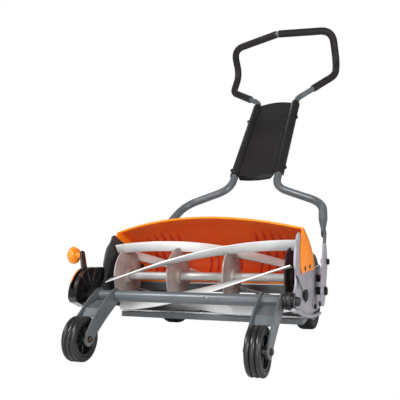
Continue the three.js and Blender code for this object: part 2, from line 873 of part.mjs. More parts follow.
function chainCase() {
  const inner = -246.5;
  const outer = -256;
  const wall = 2;
  const frontRadius = 23.5;
  const rearRadius = 44.5;
  const body = plateX(beltShape(REEL, frontRadius, REAR_WHEEL, rearRadius), inner, outer, 9);
  const hollow = beltShape(REEL, frontRadius - wall, REAR_WHEEL, rearRadius - wall);
  const pocket = plateX(hollow, inner + 5, outer + wall, 9);
  const way = rodX(11, -230, -270, HANDLE_PIVOT.y, HANDLE_PIVOT.z, 14);
  return cut(body, pocket, way);
}

function buildDrive() {
  add("rear_axle", rodX(REAR_WHEEL.axle, -252.8, 248, REAR_WHEEL.y, REAR_WHEEL.z, 20), "bareSteel");
  for (const [name, side] of [
    ["left", -1],
    ["right", 1],
  ]) {
    add("rear_tyre_" + name, rearTyre(side * REAR_WHEEL.x), "tyreRubber");
    add("rear_hub_" + name, rearHub(side), "blackPlastic");
  }
  const { wheelTeeth } = CHAIN;
  const { y, z, axle } = REAR_WHEEL;
  add("axle_sprocket", sprocket(wheelTeeth, y, z, axle), "blackSteel");
  add("drive_chain", chainBand(), "blackSteel");
  add("chain_case", chainCase(), "blackPlastic");
}

// ---------------------------------------------------------------- handle

function handleStrap(side) {
  const shape = outline([
    [118, 96],
    [124, 86],
    [146, 80],
    [164, 90],
    [192, 124],
    [226, 176],
    [228, 196],
    [220, 232],
    [190, 236],
    [156, 204],
    [126, 140],
  ]);
  const x0 = side * STRAP.inner;
  const x1 = side * (STRAP.inner + STRAP.thickness);
  return cut(
    plateX(shape, x0, x1),
    rodX(7 + GAP, x0 - side * 9, x1 + side * 9, HANDLE_PIVOT.y, HANDLE_PIVOT.z, 14),
    rodX(5 + GAP, x0 - side * 9, x1 + side * 9, STRAP_BOLT.y, STRAP_BOLT.z, 12),
    plateX(slotShape([131, 96], [131, 108], 6), x0 - side * 9, x1 + side * 9, 4),
  );
}

function handlePivot(side) {
  const head = STRAP.inner + STRAP.thickness + GAP;
  const profile = [
    [0, side * (PLATE.outer + GAP)],
    [10, side * (PLATE.outer + GAP)],
    [10, side * (STRAP.inner - GAP)],
    [7, side * (STRAP.inner - GAP)],
    [7, side * head],
    [11.5, side * head],
    [11.5, side * (head + 4)],
    [8, side * (head + 7)],
    [0, side * (head + 7)],
  ];
  return turnedX(profile, HANDLE_PIVOT.y, HANDLE_PIVOT.z, 14);
}

function strapBolt(side) {
  const tongueInner = 253;
  const head = STRAP.inner + STRAP.thickness + GAP;
  const profile = [
    [0, side * (tongueInner - GAP - 5)],
    [8, side * (tongueInner - GAP - 5)],
    [8, side * (tongueInner - GAP)],
    [5, side * (tongueInner - GAP)],
    [5, side * head],
    [8, side * head],
    [8, side * (head + 5)],
    [5.5, side * (head + 7)],
    [0, side * (head + 7)],
  ];
  return turnedX(profile, STRAP_BOLT.y, STRAP_BOLT.z, 12);
}

// Along the handle's straight middle part: a point at a distance up its slope.
function upSlope(x, distance, lift = 0) {
  const turn = PANEL.slope * DEG;
  const y = PANEL.y + distance * Math.cos(turn) - lift * Math.sin(turn);
  const z = PANEL.z + distance * Math.sin(turn) + lift * Math.cos(turn);
  return [x, y, z];
}

function lowerTube(side) {
  const line = bentLine(
    [
      upSlope(side * HANDLE.halfGauge, 196),
      upSlope(side * HANDLE.halfGauge, -64),
      [side * 231, 390, 349],
      [side * 246.5, 246, 257],
    ],
    [42, 42],
  );
  const tongue = outline([
    [262, 262],
    [246, 276],
    [224, 254],
    [196, 212],
    [192, 190],
    [204, 176],
    [222, 178],
    [234, 196],
    [242, 232],
  ]);
  const tongueSheet = plateX(tongue, side * 253, side * (STRAP.inner - GAP));
  const hole = rodX(5 + GAP, side * 240, side * 270, STRAP_BOLT.y, STRAP_BOLT.z, 12);
  return cut(join(sweep(line, HANDLE.tube), tongueSheet), hole);
}

const LOOP_TOP = [0, 856, 1065];
const LOOP_TOP_CORNER = [208, 921, 1064];
const LOOP_SIDE = [205, 960, 982];
const LOOP_LOW_CORNER = [211, 926, 887];
const LOOP_ROUNDING = { top: 3, topCorner: 58, side: 32, lowCorner: 38, neck: 24 };
const LOOP_NECK = 470;

function mirrored([x, y, z]) {
  return [-x, y, z];
}

function gripTube() {
  const neck = upSlope(HANDLE.halfGauge, LOOP_NECK);
  const foot = upSlope(HANDLE.halfGauge, 214);
  const right = [LOOP_TOP_CORNER, LOOP_SIDE, LOOP_LOW_CORNER, neck, foot];
  const { top, topCorner, side, lowCorner } = LOOP_ROUNDING;
  const roundings = [topCorner, side, lowCorner, LOOP_ROUNDING.neck];
  return sweep(
    bentLine(
      [...[...right].reverse().map(mirrored), LOOP_TOP, ...right],
      [...[...roundings].reverse(), top, ...roundings],
    ),
    HANDLE.loop,
  );
}

function grip(side) {
  const neck = upSlope(HANDLE.halfGauge, LOOP_NECK);
  const low = new THREE.Vector3(...LOOP_LOW_CORNER);
  const start = new THREE.Vector3(...neck).lerp(low, 0.42).toArray();
  const share = 5 / LOOP_TOP_CORNER[0];
  const end = new THREE.Vector3(...LOOP_TOP).lerp(new THREE.Vector3(...LOOP_TOP_CORNER), share);
  const { topCorner, side: sideRounding, lowCorner } = LOOP_ROUNDING;
  const corners = [start, LOOP_LOW_CORNER, LOOP_SIDE, LOOP_TOP_CORNER, end.toArray()];
  const line = bentLine(
    side > 0 ? corners : corners.map(mirrored),
    [lowCorner, sideRounding, topCorner],
  );
  return sweep(line, HANDLE.grip, HANDLE.loop + 0.8);
}

// The panel is drawn flat (X across, Y up the slope, Z away from the tubes), then laid on the slope.
function handlePanel() {
  const { length, thickness, halfWeb } = PANEL;
  const channelInner = HANDLE.tube + 0.6;
  const channelOuter = channelInner + thickness;
  const web = new THREE.Shape();
  web.moveTo(-halfWeb, 0);
  web.quadraticCurveTo(-halfWeb + 6, -20, -halfWeb + 16, -22);
  web.quadraticCurveTo(0, -32, halfWeb - 16, -22);
  web.quadraticCurveTo(halfWeb - 6, -20, halfWeb, 0);
  web.lineTo(halfWeb, length - 4);
  web.quadraticCurveTo(0, length + 22, -halfWeb, length - 4);
  const webPlate = new THREE.ExtrudeGeometry(web, {
    depth: thickness,
    bevelEnabled: false,
    curveSegments: 10,
  });
  const pieces = [webPlate.translate(0, 0, 2)];
  for (const side of [-1, 1]) {
    const channel = new THREE.Shape();
    channel.moveTo(channelOuter, -7);
    channel.absarc(0, 0, channelOuter, 0, Math.PI);
    channel.lineTo(-channelOuter, -2);
    channel.lineTo(-channelInner, -2);
    channel.absarc(0, 0, channelInner, Math.PI, 0, true);
    channel.lineTo(channelInner, -7);
    const half = new THREE.ExtrudeGeometry(channel, {
      depth: length,
      bevelEnabled: false,
      curveSegments: 6,
    });
    half.rotateX(Math.PI / 2).translate(0, length, 0);
    if (side < 0) half.rotateY(Math.PI).scale(1, 1, -1);
    pieces.push(facingOut(half).translate(side * HANDLE.halfGauge, 0, 0));
    for (const along of [36, 338]) {
      const inner = side * (HANDLE.halfGauge + channelOuter - 1);
      pieces.push(rodX(6, inner, inner + side * 7, along, 0, 12));
    }
  }
  const panel = join(...pieces);
  return panel.rotateX(PANEL.slope * DEG).translate(0, PANEL.y, PANEL.z);
}

function buildHandle() {
  for (const [name, side] of [
    ["left", -1],
    ["right", 1],
  ]) {
    add("handle_strap_" + name, handleStrap(side), "silverPaint");
    add("handle_pivot_" + name, handlePivot(side), "blackSteel");
    add("strap_bolt_" + name, strapBolt(side), "blackSteel");
    add("lower_tube_" + name, lowerTube(side), "slatePaint");
    add("grip_" + name, grip(side), "gripFoam");
  }
  add("grip_tube", gripTube(), "slatePaint");
  add("handle_panel", handlePanel(), "blackPlastic");
}

// ---------------------------------------------------------------- assembly

buildReel();
buildSides();
buildCrossMembers();
buildChute();
buildFront();
buildHeightAdjuster();
buildDrive();
buildHandle();

// The finished part's origin is the middle of its footprint, on the ground.
mower.updateMatrixWorld(true);
const extent = new THREE.Box3().setFromObject(mower, true);
mower.position.set(-(extent.min.x + extent.max.x) / 2, -(extent.min.y + extent.max.y) / 2, 0);

export default mower;
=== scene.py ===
"""A push reel mower, dressed for rendering over its CAD frame.

Lengths are in millimetres measured from the reel: X from left to right seen from the front,
Y from front to back of the reel's axis, Z up from the ground.
"""

import functools
import math

import bmesh
import bpy
import numpy as np
from mathutils import Matrix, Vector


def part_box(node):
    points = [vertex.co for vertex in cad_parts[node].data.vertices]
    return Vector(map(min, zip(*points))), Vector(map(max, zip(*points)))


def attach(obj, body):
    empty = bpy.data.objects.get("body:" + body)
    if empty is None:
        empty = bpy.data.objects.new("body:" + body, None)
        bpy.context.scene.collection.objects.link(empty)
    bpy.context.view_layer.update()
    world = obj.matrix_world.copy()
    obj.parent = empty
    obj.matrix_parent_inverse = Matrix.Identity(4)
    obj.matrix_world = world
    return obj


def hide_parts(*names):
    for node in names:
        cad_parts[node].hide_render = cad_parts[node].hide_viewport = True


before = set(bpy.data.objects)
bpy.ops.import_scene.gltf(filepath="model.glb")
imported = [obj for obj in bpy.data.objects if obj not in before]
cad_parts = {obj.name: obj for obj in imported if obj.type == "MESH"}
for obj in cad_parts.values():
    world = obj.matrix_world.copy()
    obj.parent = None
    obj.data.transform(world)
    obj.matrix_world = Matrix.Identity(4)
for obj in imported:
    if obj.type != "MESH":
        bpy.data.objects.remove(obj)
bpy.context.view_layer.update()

# ---------------------------------------------------------------- reel
# The cutting cylinder: five steel bars twisted round four pressed discs on a tubular shaft.
# Bars and discs are welded and sprayed pale grey together; the cutting edge is ground bare.

MM = 0.001
SIDES = ((-1, "left"), (1, "right"))
_bed_low, _bed_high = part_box("bed_bar")
_shaft_low, _shaft_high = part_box("reel_shaft")
ORIGIN = np.array(
    [(_bed_low.x + _bed_high.x) / 2, (_shaft_low.y + _shaft_high.y) / 2, 0.0]
)
REEL_HEIGHT = (_shaft_low.z + _shaft_high.z) / 2 / MM


def local_box(node):
    """A CAD node's box as two arrays in millimetres from the reel."""
    low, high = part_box(node)
    return (np.array(low) - ORIGIN) / MM, (np.array(high) - ORIGIN) / MM


def middle_and_half(node):
    """The middle of a CAD node's box and half its size along each axis."""
    low, high = local_box(node)
    return (low + high) / 2, (high - low) / 2


def outward(verts, faces):
    """The same closed shape with its faces turned outwards: the summed signed volume of the
    fans of its faces tells which way they point."""
    total = 0.0
    for group in faces:
        first = verts[group[:, 0]]
        for k in range(1, group.shape[1] - 1):
            cross = np.cross(verts[group[:, k]], verts[group[:, k + 1]])
            total += float((first * cross).sum())
    if total >= 0:
        return verts, faces
    return verts, [group[:, ::-1] for group in faces]


def merged(*shapes):
    """Several shapes as one list of vertices and faces."""
    start, all_verts, all_faces = 0, [], []
    for verts, faces in shapes:
        all_verts.append(verts)
        all_faces += [group + start for group in faces]
        start += len(verts)
    return np.concatenate(all_verts), all_faces


def ring_shape(rings, endless=False):
    """A closed skin through rings of equally many points: neighbouring rings are joined by
    quads, and the first and last ring are capped unless the rings run round in a circle."""
    rings = np.asarray(rings, float)
    count, around = rings.shape[:2]
    i = np.arange(count if endless else count - 1)[:, None]
    k = np.arange(around)[None, :]
    after, beside = (i + 1) % count, (k + 1) % around
    corners = [i * around + k, i * around + beside, after * around + beside, after * around + k]
    quads = np.stack([c * np.ones((len(i), around), int) for c in corners], -1).reshape(-1, 4)
    faces = [quads]
    if not endless:
        faces.append(np.arange(around)[None, ::-1])
        faces.append(((count - 1) * around + np.arange(around))[None, :])
    return outward(rings.reshape(-1, 3), faces)


def rounded(points, radius, steps=4, closed=True):
    """A line of points with its corners replaced by short parabolas that start and end one
    radius from the corner, or nearer where the sides are short."""
    points = [np.asarray(p, float) for p in points]
    line = []
    for i, corner in enumerate(points):
        if not closed and i in (0, len(points) - 1):
            line.append(corner)
            continue
        before, after = points[i - 1], points[(i + 1) % len(points)]
        reach = min(radius, 0.48 * np.linalg.norm(before - corner))
        reach = min(reach, 0.48 * np.linalg.norm(after - corner))
        start = corner + (before - corner) / np.linalg.norm(before - corner) * reach
        end = corner + (after - corner) / np.linalg.norm(after - corner) * reach
        for t in np.linspace(0, 1, steps + 1):
            line.append((1 - t) ** 2 * start + 2 * t * (1 - t) * corner + t * t * end)
    return np.array(line)


def turned(profile, y, z, steps=96, ring=False, lift=None):
    """A profile of (radius, x) points turned about the line along X through y, z. With ring
    the profile closes on itself; lift adds a height in radius for each angle and x."""
    profile = np.asarray(profile, float)
    radius = np.maximum(profile[:, 0], 0.05)[:, None]
    turn = np.linspace(0, 2 * np.pi, steps, endpoint=False)[None, :]
    x = profile[:, 1][:, None] * np.ones_like(turn)
    radius = radius * np.ones_like(turn)
    if lift is not None:
        radius = radius + lift(turn, x, radius)
    rings = np.stack([x, y + radius * np.cos(turn), z + radius * np.sin(turn)], -1)
    return ring_shape(rings, endless=ring)


def slab(outline, x0, x1, edge=0.6):
    """A sheet lying across X with a closed (y, z) outline and softly rounded edges: each ring
    is the outline moved in along its normals by its share of a quarter circle."""
    line = np.asarray(outline, float)
    ahead = np.roll(line, -1, 0) - line
    behind = line - np.roll(line, 1, 0)
    along = ahead / np.linalg.norm(ahead, axis=1)[:, None]
    along = along + behind / np.linalg.norm(behind, axis=1)[:, None]
    along /= np.maximum(np.linalg.norm(along, axis=1)[:, None], 1e-9)
    area = (line[:, 0] * np.roll(line[:, 1], -1) - np.roll(line[:, 0], -1) * line[:, 1]).sum()
    inward = np.stack([-along[:, 1], along[:, 0]], 1) * (1 if area > 0 else -1)
    low, high = min(x0, x1), max(x0, x1)
    rings = []
    for share in (1.0, 0.3, 0.0):
        depth = edge * (1 - math.sqrt(max(0.0, 1 - (1 - share) ** 2)))
        rings.append((low + depth, line + inward * edge * share))
    for share in (0.0, 0.3, 1.0):
        depth = edge * (1 - math.sqrt(max(0.0, 1 - (1 - share) ** 2)))
        rings.append((high - depth, line + inward * edge * share))
    rings[0] = (low, rings[0][1])
    rings[-1] = (high, rings[-1][1])
    return ring_shape([np.column_stack([np.full(len(p), x), p]) for x, p in rings])


def put(tree, kind, inputs=None, **settings):
    """A shader node with its settings, its inputs joined to sockets or set to constants."""
    made = tree.nodes.new(kind)
    for key, value in settings.items():
        setattr(made, key, value)
    for key, value in (inputs or {}).items():
        if isinstance(value, bpy.types.NodeSocket):
            tree.links.new(value, made.inputs[key])
        else:
            made.inputs[key].default_value = value
    return made


def shader_group(name, inputs, outputs):
    """An empty node group with float inputs (name, default) and float outputs."""
    tree = bpy.data.node_groups.new(name, "ShaderNodeTree")
    tree.interface.new_socket("Vector", in_out="INPUT", socket_type="NodeSocketVector")
    for label, default in inputs:
        made = tree.interface.new_socket(label, in_out="INPUT", socket_type="NodeSocketFloat")
        made.default_value = default
    for label in outputs:
        tree.interface.new_socket(label, in_out="OUTPUT", socket_type="NodeSocketFloat")
    return tree, tree.nodes.new("NodeGroupInput"), tree.nodes.new("NodeGroupOutput")


def noise(tree, place, scale, detail, distortion=0.0):
    """The value between 0 and 1 of a noise texture."""
    inputs = {"Vector": place, "Scale": scale, "Detail": detail, "Distortion": distortion}
    return put(tree, "ShaderNodeTexNoise", inputs).outputs["Fac"]


def times(tree, value, factor):
    """The product of two sockets, or of a socket and a number."""
    return put(tree, "ShaderNodeMath", {0: value, 1: factor}, operation="MULTIPLY").outputs[0]


def ranged(tree, value, low, high, start=0.0, end=1.0, **settings):
    """A value's run from low to high spread over start to end and held there beyond."""
    inputs = {0: value, 1: low, 2: high, 3: start, 4: end}
    return put(tree, "ShaderNodeMapRange", inputs, **settings).outputs[0]


def mottle_group():
    """Broad clouding and fine clouding of a finish, each a noise between 0 and 1."""
    tree, given, result = shader_group("mottle", [("Scale", 20.0)], ["Broad", "Fine"])
    place, scale = given.outputs["Vector"], given.outputs["Scale"]
    tree.links.new(noise(tree, place, scale, 3.0), result.inputs["Broad"])
    tree.links.new(noise(tree, place, times(tree, scale, 9.0), 5.0), result.inputs["Fine"])
    return tree


def speckle_group():
    """Scattered specks: 1 inside the small round cells of a Voronoi pattern, 0 between."""
    tree, given, result = shader_group("speckle", [("Scale", 600.0), ("Size", 0.3)], ["Mask"])
    place, size = given.outputs["Vector"], given.outputs["Size"]
    cells = put(tree, "ShaderNodeTexVoronoi", {"Vector": place, "Scale": given.outputs["Scale"]})
    mask = ranged(tree, cells.outputs["Distance"], size, times(tree, size, 0.6),
                  interpolation_type="SMOOTHSTEP")
    tree.links.new(mask, result.inputs["Mask"])
    return tree


def scuff_group():
    """Thin scattered scratches: a noise stretched along X and thresholded high."""
    tree, given, result = shader_group("scuffs", [("Scale", 60.0), ("Amount", 0.4)], ["Mask"])
    inputs = {"Vector": given.outputs["Vector"], "Scale": (0.15, 1.0, 1.3)}
    stretched = put(tree, "ShaderNodeMapping", inputs).outputs[0]
    mask = ranged(tree, noise(tree, stretched, given.outputs["Scale"], 8.0, 0.6), 0.58, 0.72)
    tree.links.new(times(tree, mask, given.outputs["Amount"]), result.inputs["Mask"])
    return tree


def grain_group():
    """The height of a fine moulded or sprayed grain: two noises of different fineness."""
    tree, given, result = shader_group("grain", [("Scale", 500.0)], ["Height"])
    place, scale = given.outputs["Vector"], given.outputs["Scale"]
    first = noise(tree, place, scale, 2.0)
    second = noise(tree, place, times(tree, scale, 3.1), 1.0)
    both = put(tree, "ShaderNodeMath", {0: first, 1: second})
    tree.links.new(both.outputs[0], result.inputs["Height"])
    return tree


MOTTLE, SPECKLE, SCUFFS, GRAIN = mottle_group(), speckle_group(), scuff_group(), grain_group()


def use_group(tree, group, inputs):
    """A node that uses one of the shared groups."""
    return put(tree, "ShaderNodeGroup", inputs, node_tree=group)


def mixed(tree, share, first, second):
    """A colour between two: sockets or (r, g, b) constants."""
    made = tree.nodes.new("ShaderNodeMix")
    made.data_type = "RGBA"
    tree.links.new(share, made.inputs["Factor"])
    for index, value in ((6, first), (7, second)):
        if isinstance(value, bpy.types.NodeSocket):
            tree.links.new(value, made.inputs[index])
        else:
            made.inputs[index].default_value = (*value, 1.0)
    return made.outputs[2]


CLOUD_SPAN = (0.3, 0.7)
COAT_ROUGHNESS = 0.15


def finish(name, dark, light, rough, metallic=0.0, coat=0.0, grain=(500.0, 0.02), cloud=14.0,
           scuff=0.3, speck=None):
    """A finish whose colour drifts between two tones with the clouding, whose roughness runs
    over the range rough with it, with a fine grain as bump, faint scuffs and optional specks
    (their colour, scale and size). Returns the material, its tree and its shader."""
    material = bpy.data.materials.new(name)
    material.use_nodes = True
    tree = material.node_tree
    shader = tree.nodes["Principled BSDF"]
    place = put(tree, "ShaderNodeTexCoord").outputs["Object"]
    clouds = use_group(tree, MOTTLE, {"Vector": place, "Scale": cloud})
    scuffs = use_group(tree, SCUFFS, {"Vector": place, "Amount": scuff})
    colour = mixed(tree, ranged(tree, clouds.outputs["Broad"], *CLOUD_SPAN), dark, light)
    paler = tuple(min(1.0, 1.25 * c + 0.01) for c in light)
    colour = mixed(tree, scuffs.outputs["Mask"], colour, paler)
    if speck:
        specks = use_group(tree, SPECKLE, {"Vector": place, "Scale": speck[1], "Size": speck[2]})
        colour = mixed(tree, specks.outputs["Mask"], colour, speck[0])
    roughness = ranged(tree, clouds.outputs["Fine"], *CLOUD_SPAN, *rough)
    height = use_group(tree, GRAIN, {"Vector": place, "Scale": grain[0]})
    inputs = {"Height": height.outputs["Height"], "Strength": 1.0, "Distance": grain[1] * MM}
    bump = put(tree, "ShaderNodeBump", inputs)
    tree.links.new(colour, shader.inputs["Base Color"])
    tree.links.new(roughness, shader.inputs["Roughness"])
    tree.links.new(bump.outputs[0], shader.inputs["Normal"])
    shader.inputs["Metallic"].default_value = metallic
    shader.inputs["Coat Weight"].default_value = coat
    shader.inputs["Coat Roughness"].default_value = COAT_ROUGHNESS
    return material, tree, shader


def recolour(tree, shader, mask_name, tone):
    """Blends another tone over the shader's colour where a vertex attribute says so."""
    mask = put(tree, "ShaderNodeAttribute", attribute_name=mask_name).outputs["Fac"]
    before = shader.inputs["Base Color"].links[0].from_socket
    tree.links.new(mixed(tree, mask, before, tone), shader.inputs["Base Color"])


def add_object(name, mesh, material, body, stands_for, crease):
    """A mesh with smooth shading and sharp creases as an object that rides on its body and
    stands for CAD nodes."""
    mesh.shade_smooth()
    mesh.set_sharp_from_angle(angle=math.radians(crease))
    mesh.materials.append(material)
    made = bpy.data.objects.new(name, mesh)
    bpy.context.scene.collection.objects.link(made)
    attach(made, body)
    if stands_for:
        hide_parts(*stands_for)
    return made


def piece(name, shape, material, body, stands_for=(), crease=38, masks=None):
    """A finished piece from vertices in millimetres and groups of faces with equally many
    corners. masks holds a value per vertex by name."""
    verts, faces = shape
    mesh = bpy.data.meshes.new(name)
    mesh.vertices.add(len(verts))
    mesh.vertices.foreach_set("co", (ORIGIN + verts * MM).astype(np.float32).ravel())
    loops = np.concatenate([group.ravel() for group in faces]).astype(np.int32)
    sizes = np.concatenate([np.full(len(group), group.shape[1]) for group in faces])
    mesh.loops.add(len(loops))
    mesh.loops.foreach_set("vertex_index", loops)
    mesh.polygons.add(len(sizes))
    starts = np.concatenate([[0], np.cumsum(sizes)[:-1]]).astype(np.int32)
    mesh.polygons.foreach_set("loop_start", starts)
    mesh.update(calc_edges=True)
    for label, values in (masks or {}).items():
        layer = mesh.attributes.new(label, "FLOAT", "POINT")
        layer.data.foreach_set("value", np.asarray(values, np.float32))
    add_object(name, mesh, material, body, stands_for, crease)


DRESSED_CREASE = 30


def dressed(node, material, body, edge, name, accent=None):
    """A CAD node's shape with its flat faces made whole and its hard edges rounded by edge.
    accent is (a second material, the x in millimetres beyond which faces take it)."""
    work = bmesh.new()
    work.from_mesh(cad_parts[node].data)
    bmesh.ops.remove_doubles(work, verts=work.verts, dist=1e-5)
    bmesh.ops.dissolve_limit(
        work, angle_limit=math.radians(1.0), verts=work.verts, edges=work.edges
    )
    mesh = bpy.data.meshes.new(name)
    work.to_mesh(mesh)
    work.free()
    made = add_object(name, mesh, material, body, [node], DRESSED_CREASE)
    if accent:
        mesh.materials.append(accent[0])
        centre = np.empty(3 * len(mesh.polygons))
        mesh.polygons.foreach_get("center", centre)
        beyond = (centre.reshape(-1, 3)[:, 0] - ORIGIN[0]) / MM > accent[1]
        mesh.polygons.foreach_set("material_index", beyond.astype(np.int32))
    bevel = made.modifiers.new("rounded_edges", "BEVEL")
    bevel.width = edge * MM
    bevel.segments = 3
    bevel.limit_method = "ANGLE"
    bevel.angle_limit = math.radians(DRESSED_CREASE)
    bevel.harden_normals = False


def steel_screw(name, x_face, side, y, z, radius, material, body):
    """A pan-headed screw standing on a face, its head pointing along X to the given side,
    with a small recess in the middle."""
    steps = [(0.0, -0.6), (radius, -0.6), (radius, 0.8), (0.86 * radius, 1.8)]
    steps += [(0.55 * radius, 2.3), (0.36 * radius, 2.3), (0.3 * radius, 1.2), (0.0, 1.1)]
    line = [(r, x_face + side * d) for r, d in steps]
    piece(name, turned(line, y, z, 28), material, body, crease=30)


BLADES, DISCS = 5, 4
BLADE_RADII = (62.0, 87.0)
BLADE_THICKNESS = 3.2
BLADE_TWIST = 101.6
BLADE_LEAN = 4.0
FIRST_BLADE = -6.6
BLADE_HALF = 228.0

pale, pale_tree, pale_shader = finish(
    "pale_paint", (0.355, 0.355, 0.35), (0.455, 0.455, 0.445), (0.3, 0.46), metallic=0.15,
    coat=0.15, grain=(350.0, 0.03), scuff=0.25, speck=((0.4, 0.38, 0.36), 260.0, 0.09),
)
recolour(pale_tree, pale_shader, "ground", (0.86, 0.87, 0.88))
disc_paint, *_ = finish(
    "disc_paint", (0.27, 0.215, 0.195), (0.46, 0.41, 0.39), (0.34, 0.55), metallic=0.2,
    grain=(300.0, 0.05), cloud=22.0, speck=((0.13, 0.1, 0.09), 180.0, 0.12),
)
# Painted shade: the last disc takes a near-black copy of the disc paint, standing in for the shadow
# at the reel's end.
shaded_end_paint, *_ = finish(
    "end_disc_painted_shade", (0.02, 0.016, 0.014), (0.06, 0.045, 0.04), (0.35, 0.6), metallic=0.3,
    grain=(300.0, 0.05), cloud=30.0,
)
ground_steel, *_ = finish(
    "ground_steel", (0.30, 0.31, 0.32), (0.55, 0.56, 0.57), (0.2, 0.38), metallic=1.0,
    grain=(900.0, 0.01), scuff=0.6,
)
black_steel, *_ = finish(
    "black_steel", (0.008, 0.007, 0.007), (0.025, 0.022, 0.02), (0.28, 0.5), metallic=0.6,
    grain=(600.0, 0.03), scuff=0.5,
)
bronze, *_ = finish(
    "bronzed_bolt", (0.045, 0.03, 0.02), (0.13, 0.095, 0.07), (0.25, 0.5), metallic=0.8,
    grain=(600.0, 0.03), scuff=0.5,
)


def blade(number, steps=150):
    """One bar of the reel: a rounded oblong section, leaning back, carried along X while it
    turns evenly about the axis by the whole twist."""
    inner, outer = BLADE_RADII
    half = BLADE_THICKNESS / 2
    section = rounded([(outer, -half), (outer, half), (inner, half), (inner, -half)], 0.7, 3)
    share = np.linspace(0, 1, steps)[:, None]
    first = FIRST_BLADE + 360 / BLADES * (number - 1)
    lean = BLADE_LEAN * (outer - section[:, 0]) / (outer - inner)
    turn = np.radians(first + BLADE_TWIST * share + lean[None, :])
    turn = turn + (section[:, 1] / section[:, 0])[None, :]
    radius = section[:, 0][None, :] * np.ones_like(turn)
    x = -BLADE_HALF + 2 * BLADE_HALF * share * np.ones_like(turn)
    rings = np.stack([x, -radius * np.cos(turn), REEL_HEIGHT + radius * np.sin(turn)], -1)
    edge = np.clip((radius - (outer - 1.6)) / 1.2, 0, 1)
    return ring_shape(rings), edge.ravel()


for number in range(1, BLADES + 1):
    shape, edge = blade(number)
    piece(f"blade_{number}", shape, pale, "reel", [f"reel_blade_{number}"],
          masks={"ground": edge})

for number in range(1, DISCS + 1):
    # The last disc is coloured near black as painted shade.
    coating = shaded_end_paint if number == DISCS else disc_paint
    dressed(f"reel_disc_{number}", coating, "reel", edge=0.7,
            name=f"spider_{number}")
    middle = middle_and_half(f"reel_disc_{number}")[0][0]
    collar = rounded([(10.0, middle - 9), (17, middle - 9), (21, middle - 1.6), (21, middle + 1.6),
                      (17, middle + 9), (10.0, middle + 9)], 1.5, 3)
    piece(f"spider_collar_{number}", turned(collar, 0, REEL_HEIGHT, 64, ring=True), coating,
          "reel")

shaft_low, shaft_high = local_box("reel_shaft")
shaft_radius = (shaft_high[2] - shaft_low[2]) / 2
shaft_line = rounded(
    [(0, shaft_low[0]), (shaft_radius, shaft_low[0]), (shaft_radius, shaft_high[0]),
     (0, shaft_high[0])], 1.2, 3, closed=False)
piece("shaft", turned(shaft_line, 0, REEL_HEIGHT, 72), pale, "reel",
      ["reel_shaft"], masks={"ground": np.zeros(72 * len(shaft_line))})
dressed("reel_sprocket", black_steel, "reel", edge=0.4, name="pinion")

# ---------------------------------------------------------------- side plates
# Two pressed steel plates carry everything. The right one is powder coated silver with a fine
# speckle, the left one dark grey; slots, bolts and a star knob adjust the bed knife.

silver, *_ = finish(
    "silver_powder", (0.32, 0.305, 0.345), (0.41, 0.39, 0.43), (0.42, 0.58), metallic=0.25,
    grain=(700.0, 0.08), cloud=10.0, scuff=0.15, speck=((0.2, 0.19, 0.22), 420.0, 0.2),
)
dark_powder, *_ = finish(
    "dark_powder", (0.032, 0.034, 0.037), (0.055, 0.058, 0.062), (0.45, 0.62), metallic=0.15,
    grain=(700.0, 0.08), cloud=10.0, scuff=0.15, speck=((0.1, 0.1, 0.105), 420.0, 0.16),
)
black_plastic, *_ = finish(
    "black_plastic", (0.009, 0.0085, 0.0085), (0.018, 0.017, 0.0165), (0.4, 0.55),
    grain=(800.0, 0.05), scuff=0.12,
)
dressed("side_plate_left", dark_powder, "frame", edge=0.7, name="left_plate")
RIGHT_FACE = local_box("lower_stay")[0][0] - 0.3
dressed("side_plate_right", silver, "frame", edge=0.7, name="right_plate",
        accent=(black_steel, RIGHT_FACE + 0.5))


def resampled(line, spacing):
    """The same line with evenly spaced points, and how far along it each one is."""
    length = np.concatenate([[0], np.cumsum(np.linalg.norm(np.diff(line, axis=0), axis=1))])
    want = np.linspace(0, length[-1], max(2, int(length[-1] / spacing)))
    return np.column_stack([np.interp(want, length, line[:, k]) for k in range(3)]), want


def swept(line, radius, sides=40, bore=None, ease=1.5, squeeze=None, spacing=4.0):
    """A round bar along a line: circles square to the line whose starting direction turns as
    little as it can, with eased ends. bore makes it a sleeve; squeeze gives, for the distance
    along, the flattening of the section across X."""
    line, along_length = resampled(np.asarray(line, float), spacing)
    tangent = np.gradient(line, axis=0)
    tangent /= np.linalg.norm(tangent, axis=1)[:, None]
    first = np.zeros_like(line)
    side = np.array([1.0, 0.2, 0.0])
    for i, along in enumerate(tangent):
        side = side - along * side.dot(along)
        side = side / np.linalg.norm(side)
        first[i] = side
    second = np.cross(tangent, first)
    turn = np.linspace(0, 2 * np.pi, sides, endpoint=False)
    out = first[:, None] * np.cos(turn)[None, :, None]
    out = out + second[:, None] * np.sin(turn)[None, :, None]
    if squeeze is not None:
        out[..., 0] *= squeeze(along_length)[:, None]

    def ring(i, size, shift=0.0):
        return line[i] + tangent[i] * shift + out[i] * size

    skin = [ring(0, radius - ease), ring(0, radius - 0.3 * ease, 0.3 * ease)]
    skin += [ring(i, radius) for i in range(1, len(line) - 1)]
    skin += [ring(-1, radius - 0.3 * ease, -0.3 * ease), ring(-1, radius - ease)]
    if bore is None:
        return ring_shape(skin)
    skin += [ring(i, bore) for i in range(len(line) - 1, -1, -1)]
    return ring_shape(skin, endless=True)


# The stay is a bent steel rod with a flat eye round the cross tube.
stay_x = RIGHT_FACE + 4.8
stay_points = [(-138, 112), (-120, 106), (-93, 103), (-44, 88), (44, 70), (130, 60), (184, 57)]
stay_line = [(stay_x, y, z) for y, z in stay_points]
eye = turned(rounded([(12.9, stay_x - 3), (17, stay_x - 3), (17, stay_x + 1.5),
                      (12.9, stay_x + 1.5)], 0.6, 2), -125, 127, 72, ring=True)
piece("bottom_stay", swept(stay_line, 4.6, 24, spacing=6.0), silver, "frame",
      ["lower_stay"])
piece("stay_eye", eye, black_steel, "frame")
